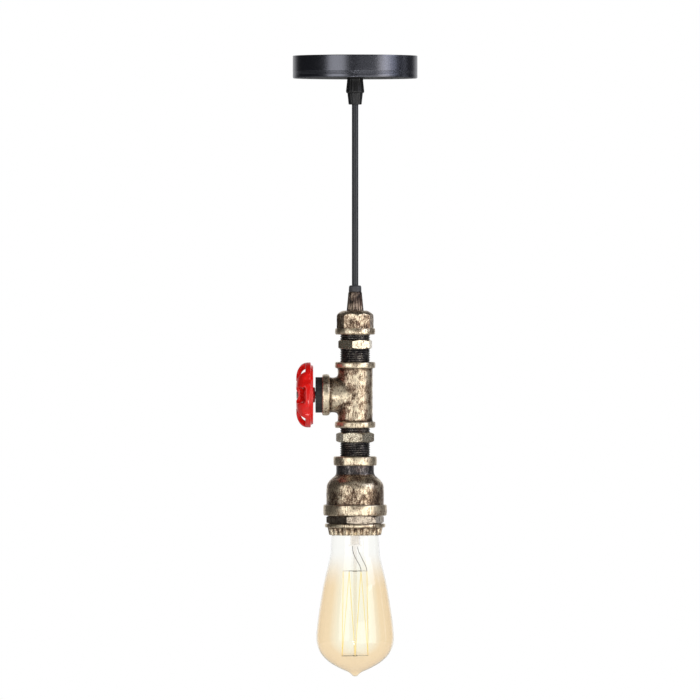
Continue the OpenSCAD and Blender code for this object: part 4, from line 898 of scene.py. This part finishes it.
class PENDANT_OT_cord_grips(Operator):
    """Makes the grip under the canopy, and the fluted cone and collet on the cap"""

    bl_idname = "pendant.cord_grips"
    bl_label = "Cord grips"

    def execute(self, context):
        self.ceiling_grip()
        self.lamp_grip()
        return {"FINISHED"}

    def ceiling_grip(self):
        ribs = 12
        top, foot, _ = span("grip_body")
        shelf, step_z = -18.0, -29.8
        body = turned_form("ceiling_grip_body", [
            (2.7, top, 0.2), (5.0, top, 0.4), (5.0, shelf, 0.1), (6.5, shelf, 0.3), (6.55, shelf - 2.2, 0.3),
            (7.5, step_z + 0.9, 0.5), (6.9, step_z, 0.25), (4.6, step_z, 0.1), (4.6, foot, 0.2),
            (3.75, foot, 0.1), (3.75, foot + 8.3, 0.1), (2.7, foot + 8.3, 0.1),
        ], shape=grooved(ribs, 0.22, 3, 5.3, step_z + 0.4, shelf - 1.0), step=0.9)
        settle(dress(body, "black_nylon"), "ceiling_mount", "black_plastic", "grip_body")

        top, foot, _ = span("grip_nut")
        nut = turned_form("ceiling_grip_nut", [
            (4.65, top, 0.1), (6.3, top, 0.35), (5.3, foot + 0.3, 0.4), (4.9, foot, 0.2), (3.75, foot, 0.2),
            (3.75, foot + 1.2, 0.2), (3.78, foot + 2.4, 0.1), (3.78, foot + 4.6, 0.1),
            (4.65, foot + 4.6, 0.1),
        ], shape=grooved(ribs, 0.28, 4, 4.9, foot + 0.9, top - 0.9), step=0.9)
        settle(dress(nut, "black_nylon"), "ceiling_mount", "black_plastic", "grip_nut")

    def lamp_grip(self):
        top, foot, _ = span("lamp_grip_collet")
        rim = top - 5.0
        collet = turned_form("lamp_collet", [
            (2.66, top, 0.15, 0.1), (4.3, top, 0.5, 0.1), (4.95, top - 1.0, 0.5, 0.1), (5.1, rim, 0.2, 0.3),
            (3.9, rim, 0.1), (3.9, foot, 0.2), (2.66, foot, 0.1),
        ], step=0.8)
        settle(dress(collet, "dusted_nylon"), "lamp", "bronzed_plastic", "lamp_grip_collet")

        top, foot, _ = span("lamp_grip_cone")
        seat = span("pipe_cap")[0]
        flutes = 16
        cone = turned_form("lamp_cone", [
            (3.96, top, 0.1, 0.2), (5.0, top, 0.3, 0.4), (5.5, top - 0.9, 0.5, 0.5),
            (5.95, top - 5.5, 0.5, 0.5), (6.9, seat, 0.3, 0.8), (5.0, seat, 0.05), (5.0, foot, 0.2),
            (2.7, foot, 0.1), (2.7, top - 6.1, 0.05), (3.96, top - 6.1, 0.05),
        ], shape=grooved(flutes, 0.62, 1.5, 5.2, seat + 0.79, top - 2.0, run_out=2.5), step=0.6)
        settle(dress(cone, "bronzed_nylon"), "lamp", "bronzed_plastic", "lamp_grip_cone")


# Pipe fittings

class PENDANT_OT_cap(Operator):
    """Makes the eight-sided cap with its domed top and its bead"""

    bl_idname = "pendant.cap"
    bl_label = "Pipe cap"

    def execute(self, context):
        top, foot, r = span("pipe_cap")
        corner, turn, bead_h = 14.9, math.radians(8), 5.0
        hole, socket, room, roof, socket_h = 5.1, 12.05, 11.0, 3.0, 12
        bead_top = foot + bead_h

        def eight_sided(angles, radius, z):
            if radius < socket + 0.05 or z < bead_top - 0.05:
                return radius
            return np.minimum(corner_radius(angles, corner, 8, turn), radius)

        cap = turned_form("octagon_cap", [
            (hole, top, 0.3, 0.6), (9.6, top, 1.2, 0.7), (12.9, top - 1.6, 1.5, 0.6),
            (14.6, top - 3.4, 1.2, 0.6), (corner, top - 4.6, 0.8, 0.45), (corner, bead_top, 0.3, 0.15),
            (r - 0.5, bead_top, 0.8, 0.85), (r, foot + bead_h / 2, 1.6, 1.0), (r - 0.5, foot, 0.8, 0.8),
            (socket, foot, 0.4, 0.2), (socket, foot + socket_h, 0.1), (room, foot + socket_h, 0.1),
            (room, top - roof, 0.3), (hole, top - roof, 0.1),
        ], sides=160, start=turn, shape=eight_sided, step=0.8)
        roughened(cap, context.scene.pendant_fittings.casting_depth / MM, 3.2, seed=1.0)
        settle(dress(cap, "cast_bronze"), "lamp", "antique_bronze_iron", "pipe_cap")
        return {"FINISHED"}


class PENDANT_OT_nipples(Operator):
    """Makes the two nipples: real helical thread each side of a milled hexagon"""

    bl_idname = "pendant.nipples"
    bl_label = "Nipples"

    def execute(self, context):
        s = context.scene.pendant_fittings
        cap_foot, tee_foot = span("pipe_cap")[1], span("tee")[1]
        self.nipple(s, "upper_pipe_nipple", "upper_nipple", hex_top=cap_foot - 4.2, hex_h=7.4,
                    corner=14.5, turn=math.radians(-98.5))
        self.nipple(s, "lower_pipe_nipple", "lower_nipple", hex_top=tee_foot - 3.7, hex_h=8.0,
                    corner=15.4, turn=math.radians(-68))
        return {"FINISHED"}

    def nipple(self, s, name, node, hex_top, hex_h, corner, turn):
        top, foot, _ = span(node)
        pitch, depth = s.thread_pitch / MM, s.thread_depth / MM
        crest, bore, hex_foot = 12.0, 9.25, hex_top - hex_h
        end_fade, hex_fade, undercut = 1.2, 0.8, 0.25

        def threaded(angles, r, z):
            if r > crest + 0.01:
                return np.minimum(r, corner_radius(angles, corner, 6, turn))
            if r < crest - 0.01:
                return r
            fade = min(1, (top - z) / end_fade, (z - foot) / end_fade)
            if z >= hex_top:
                fade = min(fade, (z - hex_top) / hex_fade)
            elif z <= hex_foot:
                fade = min(fade, (hex_foot - z) / hex_fade)
            fade = max(0, fade)
            return r - helix_cut(angles, z, pitch, depth) * fade - undercut * (1 - fade)

        def run(z0, z1):
            n = math.ceil(abs(z1 - z0) / (pitch / 7))
            return [(crest, z0 + (z1 - z0) * k / n) for k in range(n + 1)]

        flat = corner * math.cos(math.pi / 6)
        form = turned_form(name, [
            (bore, top), *run(top, hex_top), (flat - 0.5, hex_top, 0.2, 0.8),
            (corner + 0.2, hex_top - 1.2, 0.3, 0.85), (corner + 0.2, hex_foot + 1.2, 0.3, 0.85),
            (flat - 0.5, hex_foot, 0.2, 0.6), *run(hex_foot, foot), (bore, foot),
        ], start=turn, shape=threaded, step=1.0)

        def on_hexagon(face):
            z = face.center.z / MM
            return hex_foot - 0.01 <= z <= hex_top + 0.01 and face.center.xy.length > (crest + 0.2) * MM

        dress(form, "black_thread", "milled_bronze")
        second_finish(form, on_hexagon)
        settle(form, "lamp", "dark_bronze_iron", node)


class PENDANT_OT_tee(Operator):
    """Makes the cast tee, its branch flowing into the run through a wide fillet"""

    bl_idname = "pendant.tee"
    bl_label = "Tee"

    def execute(self, context):
        branch = middle_z("switch_spindle") / MM
        crease, spread, skin_r, back_r, reach = 3.2, 1.4, 12.6, 13.2, 20

        def near_corner(p):
            x, y, z = p[:, 0], p[:, 1], p[:, 2] - branch
            gap = np.abs(-x - np.abs(z)) / math.sqrt(2)
            run_r, branch_r = np.hypot(x, y), np.hypot(y, z)
            outer = (run_r > skin_r) & (branch_r > skin_r) | (run_r > back_r) & (x < 0)
            return np.clip(spread - gap / crease, 0, 1) * (x < 0) * (np.abs(z) < reach) * outer

        voxel_mm = 0.36
        tee = cast_copy("cast_tee", "tee", voxel_mm, 3, near_corner, extra_rounds=60, high_mm=0.3)
        roughened(tee, context.scene.pendant_fittings.casting_depth / MM * 1.4, 3.0, seed=4.0)
        settle(dress(tee, "cast_bronze"), "lamp", "antique_bronze_iron", "tee")
        return {"FINISHED"}


class PENDANT_OT_cup(Operator):
    """Makes the bell-shaped cup, its beads and its unbrushed neck"""

    bl_idname = "pendant.cup"
    bl_label = "Lamp cup"

    def execute(self, context):
        top, foot, _ = span("lamp_cup")
        bead_r, bead_h, neck_r, neck_h, cup_r, rim_r, rim_h = 17.5, 7.3, 15.15, 7.0, 23.0, 25.6, 8.7
        socket, socket_h, throat, room, mouth, mouth_h = 12.05, 12, 12.9, 19.8, 20.05, 9
        neck_top = top - bead_h
        neck_foot = neck_top - neck_h
        shoulder = [
            (neck_r, neck_foot + 1.5, 0.5, 0.1), (neck_r + 0.4, neck_foot - 0.6, 1.5, 0.3),
            (neck_r + 2.4, neck_foot - 2.4, 1.5, 0.5), (neck_r + 5.6, neck_foot - 5.2, 2.5, 0.6),
            (cup_r - 0.5, neck_foot - 8.2, 2.5, 0.55), (cup_r, neck_foot - 11.0, 1.5, 0.5)]
        cup = turned_form("bell_cup", [
            (socket, top, 0.4, 0.5), (bead_r - 0.3, top, 1.2, 0.85), (bead_r, top - bead_h / 2, 2.0, 1.0),
            (bead_r - 0.3, neck_top, 0.9, 0.7), (neck_r, neck_top, 0.4), *shoulder,
            (cup_r, foot + rim_h, 0.4, 0.15), (rim_r - 0.3, foot + rim_h, 1.0, 0.9),
            (rim_r, foot + rim_h / 2, 2.2, 1.0), (rim_r - 0.3, foot, 1.0, 0.7), (mouth, foot, 0.3, 0.2),
            (mouth, foot + mouth_h, 0.1), (room, foot + mouth_h, 0.1), (room, top - 24.8, 1.0),
            (throat, top - 14.6, 1.0), (throat, top - socket_h, 0.2), (socket, top - socket_h, 0.1),
        ], sides=176, step=0.8)
        roughened(cup, context.scene.pendant_fittings.casting_depth / MM * 1.2, 3.6, seed=7.0)

        def on_neck(face):
            z, r = face.center.z / MM, face.center.xy.length / MM
            return neck_foot - 0.2 < z < neck_top + 0.1 and throat + 0.1 < r < neck_r + 0.6

        dress(cup, "cast_bronze", "grey_neck")
        second_finish(cup, on_neck)
        settle(cup, "lamp", "antique_bronze_iron", "lamp_cup")
        return {"FINISHED"}


class PENDANT_OT_bush_and_ring(Operator):
    """Makes the hexagon bush under the cup and the toothed clamping ring"""

    bl_idname = "pendant.bush_and_ring"
    bl_label = "Hexagon bush and toothed ring"

    def execute(self, context):
        self.bush()
        self.ring(context.scene.pendant_fittings.teeth)
        return {"FINISHED"}

    def bush(self):
        top, foot, _ = span("hex_bush")
        face_top = span("lamp_cup")[1]
        corner, turn, bore, thread = 23.7, math.radians(-106.4), 18.3, 20.0

        def six_sided(angles, r, z):
            return np.minimum(r, corner_radius(angles, corner, 6, turn)) if r > thread + 0.1 else r

        flat = corner * math.cos(math.pi / 6)
        form = turned_form("hexagon_bush", [
            (bore, top, 0.1), (thread, top, 0.2), (thread, face_top, 0.05), (flat - 0.3, face_top, 0.2, 0.3),
            (corner + 0.2, face_top - 1.1, 0.4, 0.75), (corner + 0.2, foot + 1.1, 0.4, 0.75),
            (flat - 0.3, foot, 0.2, 0.4), (bore, foot, 0.1),
        ], sides=180, start=turn, shape=six_sided, step=0.9)
        roughened(form, 0.05, 3.0, seed=3.0)
        settle(dress(form, "brown_bronze"), "lamp", "antique_bronze_iron", "hex_bush")

    def ring(self, teeth):
        top, foot, r = span("toothed_ring")
        flange_h = 2.9
        teeth_z, tooth_top, tooth_foot = top - flange_h, r - 2.45, r - 3.45
        lip_r, lip_z, bore, gap_depth, gap_run_in, points_a_tooth = 19.4, foot + 4.0, 18.25, 1.5, 0.7, 12

        def toothed(angles, radius, z):
            if radius < lip_r + 0.3 or z > teeth_z - 0.15:
                return radius
            deep = min(1, (teeth_z - z) / gap_run_in)
            off = (angles * teeth / TURN + 0.5) % 1 - 0.5
            return radius - gap_depth * deep * np.clip(1.5 - np.abs(off) * 5.2, 0, 1)

        form = turned_form("toothed_clamp_ring", [
            (bore, top, 0.1, 0.2), (r - 0.4, top, 0.4, 0.7), (r, top - flange_h / 2, 1.2, 1.0),
            (r - 0.3, teeth_z + 0.1, 0.6, 0.8), (tooth_top + 0.2, teeth_z - 0.2, 0.3, 0.3),
            (tooth_foot + 0.1, foot + 0.4, 0.5, 0.75), (tooth_foot - 0.5, foot, 0.4, 0.8),
            (lip_r, foot, 0.3, 0.5), (lip_r, lip_z, 0.2, 0.1), (bore, lip_z, 0.1, 0.1),
        ], sides=teeth * points_a_tooth, shape=toothed, step=0.6)
        roughened(form, 0.05, 2.0, seed=9.0)
        settle(dress(form, "cast_bronze"), "lamp", "antique_bronze_iron", "toothed_ring")


# Switch and handwheel

class PENDANT_OT_switch_bush(Operator):
    """Makes the black switch bush in the branch"""

    bl_idname = "pendant.switch_bush"
    bl_label = "Switch bush"

    def execute(self, context):
        low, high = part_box("switch_bush")
        front, back, r = -low.x / MM, -high.x / MM, (high.z - low.z) / 2 / MM
        seat = -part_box("tee")[0].x / MM
        grips, grip_depth, plug_r = 16, 0.3, 12.0

        def gripped(angles, radius, z):
            if radius < plug_r + 1 or z > front - 0.7 or z < seat + 0.6:
                return radius
            return radius - grip_depth * np.clip(np.cos(grips * angles) * 3 - 2, 0, 1)

        bush = turned_form("branch_bush", [
            (4.7, back, 0.1), (plug_r, back, 0.3), (plug_r, seat, 0.1), (r, seat, 0.2), (r, front - 0.2, 0.5),
            (r - 0.4, front, 0.3), (6.3, front, 0.3), (6.3, front - 2.4, 0.1), (4.7, front - 2.4, 0.1),
        ], shape=gripped, step=0.8)
        settle(dress(on_branch(bush), "switch_nylon"), "lamp", "switch_bush_plastic", "switch_bush")
        return {"FINISHED"}


class PENDANT_OT_handwheel(Operator):
    """Makes the cast handwheel under its red enamel"""

    bl_idname = "pendant.handwheel"
    bl_label = "Handwheel"

    def execute(self, context):
        voxel_mm = 0.32
        wheel = cast_copy("red_handwheel", "handwheel", voxel_mm, 9)
        roughened(wheel, 0.05, 3.2, seed=2.0)
        settle(dress(wheel, "red_enamel"), "switch_wheel", "red_enamel", "handwheel")
        return {"FINISHED"}


# Bulb

# The glass's outline: share of its height below the top, and share of its largest radius
GLASS_SHARES = [
    (0.0, 0.416), (0.012, 0.418), (0.041, 0.503), (0.073, 0.598), (0.114, 0.621), (0.196, 0.638),
    (0.286, 0.716), (0.392, 0.812), (0.498, 0.885), (0.604, 0.95), (0.7, 0.992), (0.76, 1.0),
    (0.816, 0.95), (0.865, 0.838), (0.912, 0.63), (0.948, 0.38), (0.968, 0.2), (0.982, 0.115),
    (0.996, 0.06), (1.0, 0.0),
]


def spline_line(points, steps):
    """A smooth line through points."""
    done = []
    last = len(points) - 1
    for i in range(last):
        a, b, c, d = (np.array(points[min(max(j, 0), last)], float) for j in (i - 1, i, i + 1, i + 2))
        for k in range(steps):
            t = k / steps
            done.append(tuple(0.5 * (2 * b + (c - a) * t + (2 * a - 5 * b + 4 * c - d) * t ** 2
                                     + (3 * b - a - 3 * c + d) * t ** 3)))
    return done + [tuple(points[-1])]


class PENDANT_OT_bulb(Operator):
    """Blows the bulb's glass, a thin wall inside its outline"""

    bl_idname = "pendant.bulb"
    bl_label = "Bulb"

    def execute(self, context):
        top, foot, r = span("bulb_glass")
        wall, pip_r, pip_h = 0.7, 0.25, 20
        line = spline_line([(q * r, top - s * (top - foot)) for s, q in GLASS_SHARES], 4)
        line = [(max(0.0, q), z) for q, z in line]
        inner = []
        for i, (q, z) in enumerate(line):
            a, b = np.array(line[max(i - 1, 0)]), np.array(line[min(i + 1, len(line) - 1)])
            d = (b - a) / np.linalg.norm(b - a)
            inner.append((max(0.0, q + d[1] * wall), z - d[0] * wall))
        inner[0] = (line[0][0] - wall, top)
        inner = [p for p in inner if p[0] > pip_r or p[1] > foot + pip_h]
        inner.append((0.0, inner[-1][1] - 0.15))
        glass = turned_form("bulb_envelope", line + inner[::-1], sides=128, step=3.0)
        glass.data.shade_smooth()
        settle(dress(glass, "lamp_glass"), "bulb", "lamp_glass", "bulb_glass")
        return {"FINISHED"}


class PENDANT_OT_filament(Operator):
    """Draws the filament cage, its hooks and its two lead wires"""

    bl_idname = "pendant.filament"
    bl_label = "Filament"

    def execute(self, context):
        low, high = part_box("filament")
        top, foot = high.z / MM - 0.3, low.z / MM + 0.3
        corners, strands, top_r, foot_r = 12, 10, 9.5, 12.0

        def corner(k):
            a, up = TURN * k / corners, k % 2 == 0
            reach = top_r if up else foot_r
            return Vector((reach * math.cos(a), reach * math.sin(a), top if up else foot))

        self.thread([corner(k) for k in range(strands + 1)], context.scene.pendant_bulb.strand_radius / MM)
        self.hooks([corner(k) for k in range(strands + 1)], top, foot)
        self.leads(corner(strands), corner(0), top)
        return {"FINISHED"}

    def thread(self, tips, radius_mm):
        """One thread up and down through the hooks, with a small round bend at each."""
        near, far = 0.012, 0.04
        route = []
        for a, b in zip(tips, tips[1:]):
            route += [a, a + (b - a) * near, a + (b - a) * far, a.lerp(b, 0.35), a.lerp(b, 0.65),
                      b + (a - b) * far, b + (a - b) * near]
        thread = round_wire("filament_thread", [route + tips[-1:]], radius_mm, "filament", facets=2)
        settle(thread, "bulb", "filament_wire", "filament")

    def hooks(self, tips, top, foot):
        """Hooks that reach out from the middle to the thread's bends, and the two rings they grow from."""
        arbor, hook_r = 1.5, 0.17
        lines = []
        for k, tip in enumerate(tips):
            out, r = Vector((tip.x, tip.y, 0)).normalized(), tip.xy.length
            way = 1 if k % 2 == 0 else -1
            lines.append([
                out * reach + Vector((0, 0, tip.z + lift * way)) for reach, lift in (
                    (arbor, 0), (r * 0.6, 0.25), (r - 0.3, 0.1), (r + 0.35, -0.1), (r + 0.1, -0.5))])
        hooked = round_wire(
            "filament_hooks", lines, hook_r, "nickel", facets=2, order=3, steps=12, capped=False)
        settle(hooked, "bulb", "nickel_wire", "filament_supports")
        for end, z in (("top", top), ("foot", foot)):
            ring = turned_form(f"arbor_ring_{end}", [
                (1.35, z + 0.4, 0.1), (2.0, z + 0.4, 0.15), (2.0, z - 0.4, 0.15), (1.35, z - 0.4, 0.1)], 32)
            settle(dress(ring, "nickel"), "bulb", "nickel_wire", "filament_supports")

    def leads(self, left_end, right_end, top):
        """Two lead wires leave the stem side by side and bend out to the thread's ends."""
        mouth, lead_r = span("bulb_glass")[0] - 18.0, 0.28
        for name, side, end in (("left", -1, left_end), ("right", 1, right_end)):
            points = [
                (2 * side, 0, mouth), (2.1 * side, 0, mouth - 3),
                (2.3 * side + 0.2 * end.x, 0.1 * end.y, mouth - 7),
                (0.75 * end.x + 0.4 * side, 0.6 * end.y, top + 6), (end.x, end.y, top + 2.2),
                (end.x, end.y, top + 0.2)]
            wire = round_wire(f"lead_wire_{name}", [points], lead_r, "nickel", facets=2)
            settle(wire, "bulb", "nickel_wire", "bulb_lead_wires")


OPERATORS = [
    PENDANT_OT_stage, PENDANT_OT_inner_parts, PENDANT_OT_cords, PENDANT_OT_canopy, PENDANT_OT_cord_grips,
    PENDANT_OT_cap, PENDANT_OT_nipples, PENDANT_OT_tee, PENDANT_OT_cup, PENDANT_OT_bush_and_ring,
    PENDANT_OT_switch_bush, PENDANT_OT_handwheel, PENDANT_OT_bulb, PENDANT_OT_filament,
]


class PENDANT_PT_panel(Panel):
    bl_label = "Pipe pendant light"
    bl_idname = "PENDANT_PT_panel"
    bl_space_type = "VIEW_3D"
    bl_region_type = "UI"
    bl_category = "Pendant"

    def draw(self, context):
        for kind in OPERATORS:
            self.layout.operator(kind.bl_idname)
        for key, group in SETTINGS.items():
            settings = getattr(context.scene, key)
            for name in group.__annotations__:
                self.layout.prop(settings, name)


def register():
    for kind in (*SETTINGS.values(), *OPERATORS, PENDANT_PT_panel):
        bpy.utils.register_class(kind)
    for key, group in SETTINGS.items():
        setattr(bpy.types.Scene, key, PointerProperty(type=group))


def unregister():
    for key in SETTINGS:
        delattr(bpy.types.Scene, key)
    for kind in reversed((*SETTINGS.values(), *OPERATORS, PENDANT_PT_panel)):
        bpy.utils.unregister_class(kind)


def main():
    register()
    for kind in OPERATORS:
        group, name = kind.bl_idname.split(".")
        getattr(getattr(bpy.ops, group), name)()


if __name__ == "__main__":
    main()
